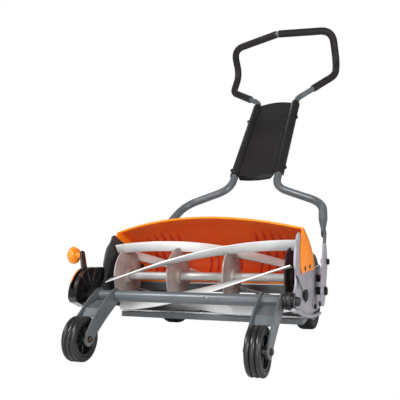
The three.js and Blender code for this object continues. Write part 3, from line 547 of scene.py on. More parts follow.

# Black slabs fill the slots of both plates as painted shade, standing for the dark washers and shadow
# seen through them.
for order, (y0, z0, y1, z1) in enumerate(((38, 147, 38, 166), (180, 118, 180, 137),
                                          (122, 99, 101, 79), (-60, 150, -60, 168))):
    turn = math.atan2(z1 - z0, y1 - y0)
    line = [(y1 + 5 * math.cos(turn + a), z1 + 5 * math.sin(turn + a))
            for a in np.linspace(-math.pi / 2, math.pi / 2, 9)]
    line += [(y0 - 5 * math.cos(turn + a), z0 - 5 * math.sin(turn + a))
             for a in np.linspace(-math.pi / 2, math.pi / 2, 9)]
    inward_x, outward_x = (-3.9, -0.15) if order < 3 else (-4.2, 0.25)
    slot_shades = [slab(line, side * (RIGHT_FACE + inward_x), side * (RIGHT_FACE + outward_x), 0.2)
               for side in (-1, 1)]
    piece(f"slot_shadow_{order + 1}", merged(*slot_shades), black_steel, "frame")

# A pale spring rod runs from a black grommet by the horn down to the star knob.
rod_x = RIGHT_FACE + 2.6
rod_line = rounded([(rod_x - 1.0, -74, 178), (rod_x + 0.6, -66, 171), (rod_x + 1.4, -36, 149),
                    (rod_x + 1.2, -18.5, 138.5)], 8, 5, closed=False)
piece("spring_rod", swept(rod_line, 2.3, 16, ease=0.8, spacing=3.0), silver,
      "frame")
grommet = rounded([(0, 0), (6.2, 0), (6.0, 1.2), (3.4, 1.9), (0, 1.9)], 0.5, 2, closed=False)
grommet = [(r, RIGHT_FACE - 0.3 + d) for r, d in grommet]
piece("rod_grommet", turned(grommet, -70, 174, 32), black_plastic, "frame")

# The rear half of the right plate is set out by a shallow press line.
step_line = rounded([(60, 146), (120, 160), (150, 170), (236, 170), (240, 120), (232, 74),
                     (170, 74), (140, 112), (96, 104)], 7, 4)
piece("right_plate_step", slab(step_line, RIGHT_FACE - 0.4, RIGHT_FACE + 0.9, 0.8), silver,
      "frame")

for side, label in SIDES:
    for order, (y, z) in enumerate(((-12, 205), (-60, 168), (20, 108), (-70, 118))):
        steel_screw(f"{label}_plate_rivet_{order + 1}", side * RIGHT_FACE, side, y, z,
                    3.2, black_steel, "frame")
    bush_low, bush_high = local_box(f"tube_bushing_{label}")
    inner, outer = sorted((abs(bush_low[0]), abs(bush_high[0])))
    line = [(12.8, side * inner), (16.2, side * inner), (16.2, side * (inner + 3)),
            (17.8, side * (inner + 3.2)), (17.8, side * (inner + 7)), (16.6, side * (inner + 7.3)),
            (16.6, side * (outer - 3)), (18.6, side * (outer - 2.8)),
            (18.6, side * (RIGHT_FACE + 1.2)), (12.8, side * (RIGHT_FACE + 1.2))]
    piece(f"{label}_bushing", turned(rounded(line, 0.4, 2), -125, 127, 72, ring=True),
          black_plastic, "frame", [f"tube_bushing_{label}"])
    bear_low, bear_high = local_box(f"reel_bearing_{label}")
    inner, outer = sorted((abs(bear_low[0]), abs(bear_high[0])))
    line = [(10.1, side * inner), (16.8, side * inner), (21.5, side * (inner + 2)),
            (25.8, side * (inner + 3.8)), (25.8, side * outer), (10.1, side * outer)]
    piece(f"{label}_bearing", turned(rounded(line, 0.8, 3), 0, REEL_HEIGHT, 72, ring=True),
          black_plastic, "frame", [f"reel_bearing_{label}"])


def lobed(y, z, small, large, lobes, steps=120):
    """The outline of a star knob: a circle whose radius swells and shrinks round it."""
    turn = np.linspace(0, 2 * np.pi, steps, endpoint=False)
    swell = (0.5 + 0.5 * np.cos(lobes * turn)) ** 0.7
    radius = small + (large - small) * swell
    return np.column_stack([y + radius * np.cos(turn), z + radius * np.sin(turn)])


knob_low, knob_high = local_box("adjuster_knob")
knob_y, knob_z = (knob_low[1] + knob_high[1]) / 2, (knob_low[2] + knob_high[2]) / 2
knob_shape = merged(
    slab(lobed(knob_y, knob_z, 10, 14, 6), knob_low[0] + 2.5, knob_high[0] - 1.5, 2.0),
    turned(rounded([(0, knob_low[0]), (8.5, knob_low[0]), (8.5, knob_high[0] - 2),
                    (6.5, knob_high[0]), (0, knob_high[0])], 0.8, 3, closed=False),
           knob_y, knob_z, 48),
)
piece("star_knob", knob_shape, black_plastic, "adjuster", ["adjuster_knob"])

# ---------------------------------------------------------------- cross members
# A folded channel ties the plates at the back; below it the bed bar carries the bed knife.

slate, *_ = finish(
    "slate_paint", (0.095, 0.108, 0.119), (0.128, 0.144, 0.156), (0.33, 0.43), metallic=0.2,
    coat=0.12, grain=(420.0, 0.03), cloud=9.0, scuff=0.18, speck=((0.09, 0.1, 0.11), 300.0, 0.1),
)
dressed("rear_cross_member", slate, "frame", edge=0.8, name="rear_channel")
dressed("bed_bar", slate, "frame", edge=0.8, name="bed_beam")
dressed("bedknife", ground_steel, "frame", edge=0.3, name="bed_blade")
for order, x in enumerate((-180, -60, 60, 180)):
    line = rounded([(0, -1), (7, -1), (7, 1.6), (4, 3), (0, 3)], 0.8, 3, closed=False)
    head = turned(line, 0, 0, 6)
    verts = np.column_stack([x + head[0][:, 1], 60 + head[0][:, 2], 61.8 - head[0][:, 0]])
    piece(f"bed_screw_{order + 1}", outward(verts, head[1]), black_steel, "frame")

# ---------------------------------------------------------------- chute
# One orange moulding over the reel: a crowned shell with groups of stiffening flutes and a
# rolled rim, closed at each end by a flap that two screws hold to the plate.

orange, orange_tree, orange_shader = finish(
    "orange_plastic", (0.94, 0.125, 0.022), (1.0, 0.155, 0.024), (0.46, 0.58),
    coat=0.0, grain=(600.0, 0.03), cloud=8.0, scuff=0.06,
)
# Painted shade: the 'flute' mask colours the flute grooves on the inside a darker red.
recolour(orange_tree, orange_shader, "flute", (0.66, 0.034, 0.016))
# Painted light: the 'rim' mask colours the rim, the lower edge, the sides and both flaps a brighter
# yellow-orange, a painted glow of lit plastic.
recolour(orange_tree, orange_shader, "rim", (1.0, 0.29, 0.006))
orange_shader.inputs["Subsurface Weight"].default_value = 0.5
orange_shader.inputs["Specular IOR Level"].default_value = 0.35
orange_shader.inputs["Subsurface Radius"].default_value = (0.012, 0.004, 0.001)
CHUTE_HALF = local_box("chute")[1][0] - 2.5
CHUTE_END = [(95, 139), (128.5, 175.5), (126, 200), (100, 225), (64, 249.5), (11, 273.5)]
CHUTE_MIDDLE = [(95, 139), (131, 176), (129, 206), (112, 240), (58, 288), (-23, 305)]
PLATE_TOP, INSIDE_PLATES = 183.0, 235.2
FLUTE_WIDTH, FLUTE_HEIGHT = 4.0, 1.9
# EDGE_GLOW and FLAP_GLOW set how strongly the painted glow brightens the lower edge, the sides and
# the flaps.
EDGE_GLOW, FLAP_GLOW = 0.8, 0.75
FLUTES = [-192, -171, -150, -129, -108, -32, -11, 10, 31, 52, 108, 129, 150, 171, 192]


def spline(points, t):
    """Points on a uniform Catmull-Rom curve through the given points, for t from 0 to 1."""
    points = np.asarray(points, float)
    last = len(points) - 1
    place = np.clip(np.asarray(t) * last, 0, last)
    i = np.minimum(place.astype(int), last - 1)
    u = (place - i)[:, None]
    p0, p1 = points[np.maximum(i - 1, 0)], points[i]
    p0 = np.where((i == 0)[:, None], points[0], p0)
    p2, p3 = points[i + 1], points[np.minimum(i + 2, last)]
    a, b = (p2 - p0) / 2, (p3 - p1) / 2
    return (2 * p1 - 2 * p2 + a + b) * u**3 + (-3 * p1 + 3 * p2 - 2 * a - b) * u**2 + a * u + p1


def chute_shell(columns=300, rows=80, thickness=2.5):
    """The shell: each cross line blends from the end curve to the middle curve by the crown
    1 - s squared, is thickened along the line away from the reel, and swells outward by a
    smooth ridge at every flute; the rim is thickened to a bead. It also returns two colour
    masks: a painted glow over the rim, the lower edge and the sides, and painted shade in
    the flute grooves on the inside."""
    share = np.linspace(-1, 1, columns + 1)
    t = np.linspace(0, 1, rows + 1)
    end, middle = spline(CHUTE_END, t), spline(CHUTE_MIDDLE, t)
    crown = (1 - share**2)[:, None, None]
    base = end[None] * (1 - crown) + middle[None] * crown
    reach = np.where(end[:, 1] < PLATE_TOP, INSIDE_PLATES, CHUTE_HALF)
    x = share[:, None] * reach[None, :]
    out = base - np.array([0.0, REEL_HEIGHT])
    out /= np.linalg.norm(out, axis=-1, keepdims=True)
    flute = sum(np.exp(-(((x - place) / FLUTE_WIDTH) ** 2)) for place in FLUTES)
    top = 0.58 + 0.24 * np.clip((np.abs(x) - 60) / 40, 0, 1) - 0.0009 * np.abs(np.abs(x) - 155)
    fade = np.clip((t - 0.05) / 0.06, 0, 1) * np.clip((top - t) / 0.1, 0, 1)
    swell = FLUTE_HEIGHT * flute * fade
    # Painted shade: the flute grooves on the inside take a darker colour.
    groove_shade = np.clip(flute * fade, 0, 1)
    rim = np.clip((t - 0.965) / 0.02, 0, 1)[None, :] * np.ones_like(swell)
    # Painted light: the lower edge of the inside is coloured brighter as a painted glow.
    foot = EDGE_GLOW * np.clip((0.12 - t) / 0.06, 0, 1)[None, :]
    layers = []
    for height in (0.0, thickness):
        bead = (1.3 if height else -0.6) * rim
        points = base + out * (height + swell * (1 if height == 0 else 0.6) + bead)[..., None]
        layers.append(np.concatenate([x[..., None], points], -1))
    loops = np.concatenate([layers[0], layers[1][:, ::-1]], 1)
    mask = np.concatenate([np.maximum(rim, foot), rim[:, ::-1]], 1)
    groove_shade = np.concatenate([groove_shade, 0 * groove_shade], 1)
    # Painted light: the two side edges are coloured brighter as a painted glow too.
    side_glow = np.clip((np.abs(share) - 0.985) / 0.01, 0, 1)[:, None]
    mask = np.maximum(mask, side_glow * np.ones_like(mask) * EDGE_GLOW)
    return ring_shape(loops), mask.ravel(), groove_shade.ravel()


shell, shell_painted_glow, shell_groove_shade = chute_shell()
chute_parts = [shell]
chute_painted_glow = [shell_painted_glow]
chute_groove_shades = [shell_groove_shade]
flap_line = rounded([(12, 276), (65, 251.5), (102, 227), (128, 201), (130.5, 178), (124, 172),
                     (38, 175), (-18, 174), (-33, 187), (-25, 237), (-2, 276)], 5, 4)
for side in (-1, 1):
    flap = slab(flap_line, side * (RIGHT_FACE + 0.3), side * CHUTE_HALF, 0.9)
    chute_parts.append(flap)
    # Painted light: each flap is coloured brighter all over, a painted glow.
    chute_painted_glow.append(np.full(len(flap[0]), FLAP_GLOW))
    chute_groove_shades.append(np.zeros(len(flap[0])))
piece("discharge_chute", merged(*chute_parts), orange, "frame", ["chute"],
      masks={"rim": np.concatenate(chute_painted_glow), "flute": np.concatenate(chute_groove_shades)})
for side, label in SIDES:
    for order, y in enumerate((9, 67)):
        steel_screw(f"{label}_chute_screw_{order + 1}", side * CHUTE_HALF, side, y, 184,
                    5.2, black_steel, "frame")

# ---------------------------------------------------------------- front tube and wheels
# A slate-painted tube turns in bushings in the plates. Its welded forks hold two ribbed rubber
# wheels, each on a bolt, so turning the tube sets the cutting height.

TUBE_Y, TUBE_Z, TUBE_RADIUS = -125.0, 127.0, 12.5
tube_low, tube_high = local_box("front_tube")
tube_line = rounded([(0, tube_low[0]), (TUBE_RADIUS, tube_low[0]), (TUBE_RADIUS, tube_high[0]),
                     (0, tube_high[0])], 1.0, 3, closed=False)
piece("cross_tube", turned(tube_line, TUBE_Y, TUBE_Z, 96), slate, "height_shaft",
      ["front_tube"])
cap_low, cap_high = local_box("tube_cap_right")
cap_line = rounded([(0, cap_low[0]), (10, cap_low[0]), (10, cap_low[0] + 3.5), (8.6, cap_low[0] + 4),
                    (9.4, cap_high[0] - 3), (6, cap_high[0]), (0, cap_high[0])], 1.2, 3, closed=False)
piece("tube_plug", turned(cap_line, TUBE_Y, TUBE_Z, 64), black_plastic,
      "height_shaft", ["tube_cap_right"])
for side, label in SIDES:
    dressed(f"fork_{label}", slate, "height_shaft", edge=0.9,
            name=f"{label}_fork")
    (middle, y, z), (reach, _, _) = middle_and_half(f"front_axle_{label}")
    bolt = [turned([(0, middle - reach + 4), (3.7, middle - reach + 4), (3.7, middle + reach - 4),
                    (0, middle + reach - 4)], y, z, 32)]
    for way in (-1, 1):
        washer = rounded([(3, middle + way * (reach - 5)), (7.2, middle + way * (reach - 5)),
                          (7.2, middle + way * (reach - 3.8)), (3, middle + way * (reach - 3.8))],
                         0.3, 2)
        head = rounded([(0, middle + way * (reach - 3.9)), (6.3, middle + way * (reach - 3.9)),
                        (6.3, middle + way * (reach - 0.9)), (5, middle + way * reach),
                        (2.6, middle + way * reach), (2.2, middle + way * (reach - 1.6)),
                        (0, middle + way * (reach - 1.7))], 0.4, 2, closed=False)
        bolt += [turned(washer, y, z, 40, ring=True), turned(head, y, z, 6)]
    piece(f"{label}_wheel_bolt", merged(*bolt), bronze, "height_shaft",
          [f"front_axle_{label}"], crease=28)

rubber, *_ = finish(
    "tyre_rubber", (0.009, 0.0088, 0.009), (0.016, 0.0155, 0.016), (0.27, 0.36),
    grain=(380.0, 0.012), cloud=16.0, scuff=0.1,
)
tread_rubber, *_ = finish(
    "tread_rubber", (0.007, 0.0068, 0.007), (0.013, 0.0125, 0.013), (0.5, 0.66),
    grain=(300.0, 0.02), cloud=16.0, scuff=0.1,
)
hub_plastic, *_ = finish(
    "hub_plastic", (0.007, 0.0068, 0.0068), (0.014, 0.0135, 0.013), (0.28, 0.42),
    coat=0.2, grain=(900.0, 0.02), scuff=0.1,
)


FRONT_SPOKES, REAR_SPOKES = 6, 10


def spoke(y, z, inner, outer, half_inner, half_outer, angle, x0, x1):
    """A flat spoke: a tapered four-sided outline turned to its angle about the wheel."""
    turn = math.radians(angle)
    out = np.array([math.cos(turn), math.sin(turn)])
    across = np.array([-out[1], out[0]])
    centre = np.array([y, z])
    corners = [centre + out * inner - across * half_inner, centre + out * outer - across * half_outer,
               centre + out * outer + across * half_outer, centre + out * inner + across * half_inner]
    return slab(rounded(corners, 1.0, 2), x0, x1, 0.7)


for side, label in SIDES:
    (x, y, z), (half, _, outer) = middle_and_half(f"front_tyre_{label}")
    tread = [(36, x - half + 1), (outer - 6, x - half)]
    for centre in (-10.6, 0.0, 10.6):
        tread += [(outer - 2.4, x + centre - 4.9), (outer - 0.2, x + centre - 2.6),
                  (outer, x + centre), (outer - 0.2, x + centre + 2.6),
                  (outer - 2.4, x + centre + 4.9)]
        if centre < 10:
            tread.append((outer - 4.6, x + centre + 5.3))
    tread += [(outer - 6, x + half), (36, x + half - 1)]
    piece(f"{label}_front_tyre", turned(rounded(tread, 1.4, 3), y, z, 144, ring=True), rubber,
          f"front_wheel_{label}", [f"front_tyre_{label}"])
    hub = [
        turned(rounded([(31, x - 14), (35.7, x - 14.6), (35.7, x + 14.6), (31, x + 14)], 1, 3),
               y, z, 96, ring=True),
        turned(rounded([(4.0, x - 19), (8.5, x - 19), (11, x - 6), (11, x + 6), (8.5, x + 19),
                        (4.0, x + 19)], 1, 3), y, z, 64, ring=True),
        turned(rounded([(10, x - 1.2), (32, x - 1.2), (32, x + 1.2), (10, x + 1.2)], 0.4, 2),
               y, z, 96, ring=True),
    ]
    for n in range(FRONT_SPOKES):
        angle = 360 / FRONT_SPOKES * n + 17
        hub.append(spoke(y, z, 9, 32, 2.6, 2.0, angle, x - 10, x + 10))
    piece(f"{label}_front_hub", merged(*hub), hub_plastic,
          f"front_wheel_{label}", [f"front_hub_{label}"])

# A spring button stands out of the front of the cross tube.
button = rounded([(0, 0), (4.2, 0), (4.0, 1.6), (2.4, 2.8), (0, 3.0)], 0.8, 3, closed=False)
button_shape = turned(button, 0, 0, 32)
verts = np.column_stack([57 + button_shape[0][:, 2], TUBE_Y - 11.4 - button_shape[0][:, 0] * 0.9,
                         TUBE_Z + 4.5 + button_shape[0][:, 1]])
piece("tube_button", outward(verts, button_shape[1]), ground_steel,
      "height_shaft")

# ---------------------------------------------------------------- height adjuster
# A glossy black moulded quadrant on the left plate guides the lever; its front edge carries an
# orange scale and the lever ends in an orange mushroom knob.

gloss_plastic, *_ = finish(
    "gloss_plastic", (0.006, 0.0055, 0.0055), (0.012, 0.011, 0.0105), (0.14, 0.24),
    coat=0.5, grain=(300.0, 0.015), cloud=12.0, scuff=0.12,
)
knob_plastic, *_ = finish(
    "knob_plastic", (0.86, 0.22, 0.006), (0.94, 0.27, 0.008), (0.26, 0.4),
    coat=0.3, grain=(600.0, 0.03), scuff=0.1,
)
dressed("quadrant_housing", gloss_plastic, "frame", edge=0.9, name="quadrant")
dressed("height_scale", knob_plastic, "frame", edge=0.3, name="scale_strip")
dressed("height_lever", gloss_plastic, "height_shaft", edge=1.4, name="lever")
_, quad_high = local_box("quadrant_housing")
fins = []
for angle in np.arange(18, 163, 6.0):
    turn = math.radians(180 - angle)
    out = np.array([math.cos(turn), math.sin(turn)])
    across = np.array([-out[1], out[0]]) * 0.55
    start = np.array([TUBE_Y, TUBE_Z]) + out * 21.5
    end = np.array([TUBE_Y, TUBE_Z]) + out * (61.5 if angle < 100 else 48)
    fins.append(slab([start - across, end - across, end + across, start + across],
                     quad_high[0] - 5.2, quad_high[0] - 0.4, 0.3))
piece("quadrant_fins", merged(*fins), gloss_plastic, "frame")

low, high = local_box("lever_knob")
(_, y, z), (_, _, big) = middle_and_half("lever_knob")
knob_line = [(0, high[0]), (6.6, high[0]), (6.2, high[0] - 9), (9, high[0] - 10.5),
             (0.72 * big, high[0] - 11.5), (0.95 * big, high[0] - 16), (big, high[0] - 20.5),
             (0.96 * big, high[0] - 25), (0.78 * big, high[0] - 29), (0.45 * big, low[0] + 0.6),
             (0, low[0])]
piece("mushroom_knob", turned(rounded(knob_line, 4, 5, closed=False), y, z, 96), knob_plastic,
      "height_shaft", ["lever_knob"])

# ---------------------------------------------------------------- rear wheels and chain drive
# Two lugged rubber tyres on black spoked hubs share the axle; its sprocket drives the reel
# through a roller chain inside a thin black case on the left plate.

low, high = local_box("rear_axle")
(_, AXLE_Y, AXLE_Z), (_, _, axle_radius) = middle_and_half("rear_axle")
axle_line = rounded([(0, low[0]), (axle_radius, low[0]), (axle_radius, high[0]), (0, high[0])],
                    1.2, 3, closed=False)
piece("axle", turned(axle_line, AXLE_Y, AXLE_Z, 64), ground_steel, "drive_axle",
      ["rear_axle"])
dressed("axle_sprocket", black_steel, "drive_axle", edge=0.4, name="wheel_gear")
dressed("chain_case", black_plastic, "frame", edge=0.8, name="chain_cover")


LUG_COUNT, LUG_SLANT, LUG_DEPTH = 40, 0.32, 2.8


def lugs(middle, full, turn, x, radius):
    """Tread height: bars slanting across the tread, a smooth step of a sine of the angle plus
    a share of the distance from the middle, only where the profile is at its full radius."""
    phase = LUG_COUNT * turn + LUG_SLANT * np.abs(x - middle)
    bars = 1 / (1 + np.exp(-7 * np.sin(phase)))
    edge = np.clip((radius - (full - 9)) / 5, 0, 1)
    return -LUG_DEPTH * (1 - bars) * edge


for side, label in SIDES:
    (x, _, _), (half, _, outer) = middle_and_half(f"rear_tyre_{label}")
    line = [(79.9, x - half + 3), (outer - 12, x - half), (outer - 3, x - half + 2.5)]
    line += [(outer, x - half + 9 + (2 * half - 18) * s) for s in np.linspace(0, 1, 9)]
    line += [(outer - 3, x + half - 2.5), (outer - 12, x + half), (79.9, x + half - 3)]
    tyre = turned(rounded(line, 1.6, 2), AXLE_Y, AXLE_Z, 480, ring=True,
                  lift=functools.partial(lugs, x, outer))
    piece(f"{label}_rear_tyre", tyre, tread_rubber, "drive_axle",
          [f"rear_tyre_{label}"], crease=50)
    rim = rounded([(73, x - 18), (79.6, x - 18.5), (79.6, x + 18.5), (73, x + 18)], 1.2, 3)
    web = rounded([(20, x - 2.6), (74, x - 2.6), (74, x + 2.6), (20, x + 2.6)], 0.6, 2)
    boss = rounded([(8.4, x - 24), (17, x - 24), (22, x - 4), (22, x + 4), (17, x + 24),
                    (8.4, x + 24)], 1.4, 3)
    hub = [turned(line, AXLE_Y, AXLE_Z, 128, ring=True) for line in (rim, web, boss)]
    for n in range(REAR_SPOKES):
        angle = 360 / REAR_SPOKES * n + 9
        hub.append(spoke(AXLE_Y, AXLE_Z, 20, 74, 2.4, 1.8, angle, x - 15, x + 15))
    piece(f"{label}_rear_hub", merged(*hub), hub_plastic, "drive_axle",
          [f"rear_hub_{label}"])


CHAIN_PITCH, CHAIN_RISE, CHAIN_LINKS = 9.525, 4.4, 84
TEETH = (22, 9)


def chain_path():
    """Evenly spaced pin places and headings round the two sprockets: two arcs joined by the
    outer tangents, measured out by length."""
    big, small = (CHAIN_PITCH / (2 * math.sin(math.pi / teeth)) + CHAIN_RISE
                  for teeth in TEETH)
    rear, front = np.array([AXLE_Y, AXLE_Z]), np.array([0.0, REEL_HEIGHT])
    span = np.linalg.norm(front - rear)
    heading = math.atan2(*(front - rear)[::-1])
    spread = math.acos((big - small) / span)
    turn = np.linspace(heading - spread, heading + spread, 60)
    near = np.column_stack([front[0] + small * np.cos(turn), front[1] + small * np.sin(turn)])
    turn = np.linspace(heading + spread, heading - spread + 2 * np.pi, 120)
    far = np.column_stack([rear[0] + big * np.cos(turn), rear[1] + big * np.sin(turn)])
    line = np.concatenate([near, far, near[:1]])
    length = np.concatenate([[0], np.cumsum(np.linalg.norm(np.diff(line, axis=0), axis=1))])
    want = np.linspace(0, length[-1], CHAIN_LINKS, endpoint=False)
    return np.column_stack([np.interp(want, length, line[:, k]) for k in (0, 1)])


def roller_chain(x):
    """Links as pairs of waisted side plates, narrow and wide in turn, with a roller at each
    pin; every link lies along the chord between two neighbouring pins."""
    pins = chain_path()
    parts = []
    for i, here in enumerate(pins):
        after = pins[(i + 1) % CHAIN_LINKS]
        along = (after - here) / np.linalg.norm(after - here)
        across = np.array([-along[1], along[0]])
        length = np.linalg.norm(after - here)
        waist = [(-3.0, 0.0), (-2.0, 2.1), (0.5, 2.7), (length / 2, 1.9), (length - 0.5, 2.7),
                 (length + 2.0, 2.1), (length + 3.0, 0.0)]
        ring = waist + [(a, -b) for a, b in waist[-2:0:-1]]
        line = np.array([here + along * a + across * b for a, b in ring])
        offset = 1.5 if i % 2 else 2.0
        for side in (-1, 1):
            parts.append(slab(line, x + side * offset, x + side * (offset + 0.4), 0.12))
        parts.append(turned([(0, x - 1.4), (1.9, x - 1.4), (1.9, x + 1.4), (0, x + 1.4)],
                            here[0], here[1], 10))
    return merged(*parts)


piece("roller_chain", roller_chain(middle_and_half("drive_chain")[0][0]), black_steel,
      "frame", ["drive_chain"])

# ---------------------------------------------------------------- handle
# Pressed straps pivot on the plates and carry two bent lower tubes. A black moulded panel
# clasps both pairs of tubes, and foam-covered tube bends round into a loop at the top.

for side, label in SIDES:
    dressed(f"handle_strap_{label}", silver if side > 0 else dark_powder,
            "handle", edge=0.8, name=f"{label}_strap")
    dressed(f"handle_pivot_{label}", black_steel, "frame", edge=0.5,
            name=f"{label}_pivot")
    dressed(f"strap_bolt_{label}", black_steel, "handle", edge=0.5,
            name=f"{label}_strap_bolt")

SLOPE = math.radians(44.1)
PANEL_FOOT = np.array([0.0, 485.0, 454.0])
UP = np.array([0.0, math.cos(SLOPE), math.sin(SLOPE)])
LIFT = np.array([0.0, -math.sin(SLOPE), math.cos(SLOPE)])
HALF_GAUGE = 75.0


def up_slope(x, distance, lift=0.0):
    """A point at a distance up the handle's straight part and a height off it."""
    return PANEL_FOOT + np.array([x, 0.0, 0.0]) + UP * distance + LIFT * lift


def bent(points, roundings, steps=18):
    """A line through corner points with each corner eased by a parabola of its own size."""
    points = [np.asarray(p, float) for p in points]
    line = [points[0]]
    for i, reach in enumerate(roundings, 1):
        corner = points[i]
        start = corner + (points[i - 1] - corner) / np.linalg.norm(points[i - 1] - corner) * reach
        end = corner + (points[i + 1] - corner) / np.linalg.norm(points[i + 1] - corner) * reach
        for t in np.linspace(0, 1, steps + 1):
            line.append((1 - t) ** 2 * start + 2 * t * (1 - t) * corner + t * t * end)
    line.append(points[-1])
    return np.array(line)


LOOP_TOP = (0, 856, 1063)
LOOP_CORNERS = {
    1: [(208, 921, 1068), (214, 972, 950), (213, 926, 886)],
    -1: [(-207, 921, 1049), (-202, 972, 951), (-215, 926, 864)],
}
LOOP_REACH = {"top": 4, "top_corner": 48, "side": 40, "low_corner": 26, "neck": 24}
LOOP_NECK = 470
LOOP_RADIUS, GRIP_RADIUS, LOWER_RADIUS = 11.0, 14.5, 12.5

foam, _, foam_shader = finish(
    "grip_foam", (0.010, 0.0078, 0.0072), (0.019, 0.015, 0.0138), (0.42, 0.6),
    grain=(420.0, 0.25), cloud=18.0, scuff=0.0, speck=((0.05, 0.042, 0.038), 700.0, 0.16),
)
foam_shader.inputs["Sheen Weight"].default_value = 0.06
foam_shader.inputs["Sheen Roughness"].default_value = 0.5
foam_shader.inputs["Specular IOR Level"].default_value = 0.25

side_reach = [LOOP_REACH[k] for k in ("top_corner", "side", "low_corner", "neck")]
feet = {side: [tuple(up_slope(side * HALF_GAUGE, LOOP_NECK)),
               tuple(up_slope(side * HALF_GAUGE, 214))] for side in (-1, 1)}
loop_line = bent((LOOP_CORNERS[-1] + feet[-1])[::-1] + [LOOP_TOP] + LOOP_CORNERS[1] + feet[1],
                 side_reach[::-1] + [LOOP_REACH["top"]] + side_reach)
piece("loop_tube", swept(loop_line, LOOP_RADIUS), slate, "handle", ["grip_tube"])
for side, label in SIDES:
    top_corner, side_corner, low_corner = (np.array(c, float) for c in LOOP_CORNERS[side])
    neck, top = np.array(feet[side][0]), np.array(LOOP_TOP, float)
    start = neck + (low_corner - neck) * (0.42 if side > 0 else 0.30)
    end = top + (top_corner - top) * (3.2 / 206)
    line = bent([start, low_corner, side_corner, top_corner, end], side_reach[2::-1])
    piece(f"{label}_foam_grip", swept(line, GRIP_RADIUS, 56, bore=LOOP_RADIUS + 0.2, ease=2.0), foam,
          "handle", [f"grip_{label}"])

LOWER_BENDS = {1: (229, 396, 351), -1: (-223, 398, 357)}


def tongue_squeeze(length):
    """Full width along most of the tube, pressed flat over its last part by the strap."""
    share = np.clip((length - (length[-1] - 92)) / 70, 0, 1)
    return 1 - 0.5 * share * share * (3 - 2 * share)


for side, label in SIDES:
    line = bent([up_slope(side * HALF_GAUGE, 196), up_slope(side * HALF_GAUGE, -64),
                 LOWER_BENDS[side], (side * 250.5, 246, 257)], [44, 46])
    tongue = rounded([(262, 262), (246, 276), (224, 254), (196, 212), (192, 190), (204, 176),
                      (222, 178), (234, 196), (242, 232)], 8, 4)
    tab_low, tab_high = side * 253.2, side * 257.6
    body = merged(swept(line, LOWER_RADIUS, 48, ease=3.0, squeeze=tongue_squeeze),
                  slab(tongue, tab_low, tab_high, 0.8))
    piece(f"{label}_lower_tube", body, slate, "handle", [f"lower_tube_{label}"])

panel_plastic, _, panel_shader = finish(
    "panel_plastic", (0.010, 0.0088, 0.0082), (0.0165, 0.0145, 0.0138), (0.38, 0.5),
    grain=(520.0, 0.05), cloud=7.0, scuff=0.1,
)
panel_shader.inputs["Specular IOR Level"].default_value = 0.3
PRESS_DEPTH, LIP_HEIGHT, WEB_HALF = 2.0, 3.0, 62.0
PANEL_LENGTH, ARCH_HALF, ARCH_FOOT, ARCH_SPRING, ARCH_RISE = 438.0, 50.0, -12.0, 285.0, 48.0


def clasp_panel(stations=170):
    """The panel's section is drawn across the slope, two half-round channels joined by a web,
    and carried up the slope; both ends bow out in the middle, and the web is pressed in by a
    smooth step inside an arch: upright sides and a top that falls off like a superellipse."""
    outer, inner, web_top, web_low = 16.1, 13.1, 5.0, 2.0
    rise = math.asin(web_top / outer)
    dip = math.asin(web_low / inner)
    turn = np.linspace(0, math.pi - rise, 34)
    over = np.column_stack([HALF_GAUGE + outer * np.cos(turn), outer * np.sin(turn)])
    web = np.linspace(HALF_GAUGE - outer * math.cos(rise) - 1.5, 0, 46)[:, None] * [1, 0]
    top_half = np.concatenate([[[HALF_GAUGE + outer, -7.0]], over, web + [0, web_top]])
    top = np.concatenate([top_half, (top_half * [-1, 1])[::-1][1:]])
    turn = np.linspace(0, math.pi - dip, 26)
    under = np.column_stack([HALF_GAUGE + inner * np.cos(turn), inner * np.sin(turn)])
    web = np.linspace(HALF_GAUGE - inner * math.cos(dip) - 1.5, 0, 30)[:, None] * [1, 0]
    low_half = np.concatenate([[[HALF_GAUGE + inner, -7.0]], under, web + [0, web_low]])
    low = np.concatenate([low_half, (low_half * [-1, 1])[::-1][1:]])[::-1]
    section = np.concatenate([top, low])
    x, lift = section[:, 0][None, :], section[:, 1][None, :]
    near = np.clip(1 - (np.abs(x) / WEB_HALF) ** 2, 0, 1)
    soft = np.clip((WEB_HALF - np.abs(x)) / 9, 0, 1)
    foot = -21 * soft - 8 * near
    head = PANEL_LENGTH + 14 * near - 2
    share = np.linspace(0, 1, stations)[:, None]
    along = foot + (head - foot) * share
    reach = 1 - (np.clip(np.abs(x) / ARCH_HALF, 0, 1)) ** 2.6
    arch_top = ARCH_SPRING + ARCH_RISE * np.sqrt(reach)
    inside = np.minimum(np.minimum(ARCH_HALF - np.abs(x), arch_top - along), along - ARCH_FOOT)
    press = np.clip(inside / 5 + 0.5, 0, 1)
    on_web = np.abs(x) < WEB_HALF - 2
    lift = lift - PRESS_DEPTH * press * press * (3 - 2 * press) * on_web
    lip = np.clip(1 - (along - foot) / 7, 0, 1) * soft * (lift > 3)
    lift = lift + LIP_HEIGHT * lip
    points = PANEL_FOOT + x[..., None] * np.array([1.0, 0, 0]) + along[..., None] * UP
    return ring_shape(points + lift[..., None] * LIFT)


piece("clasp_panel", clasp_panel(), panel_plastic, "handle", ["handle_panel"],
      crease=42)
for side, label in SIDES:
    for order, along in enumerate((36, 338)):
        at = up_slope(0, along)
        x = side * (HALF_GAUGE + 15.8)
        head = rounded([(0, x), (7.2, x), (7.2, x + side * 1.4), (5.6, x + side * 1.8),
                        (5.4, x + side * 6.2), (0, x + side * 6.6)], 0.5, 2, closed=False)
        piece(f"{label}_panel_bolt_{order + 1}", turned(head, at[1], at[2], 28), black_steel,
              "handle", crease=30)

# ---------------------------------------------------------------- stage
# A plain white floor and white surroundings with broad soft lights, and the camera.
# Places here are in metres.

FLOOR_HALF, FLOOR_Z, FLOOR_GLOW = 6.0, -0.001, 1.0
ROOM_LIGHT, ROOM_SEEN = 0.26, 1.0


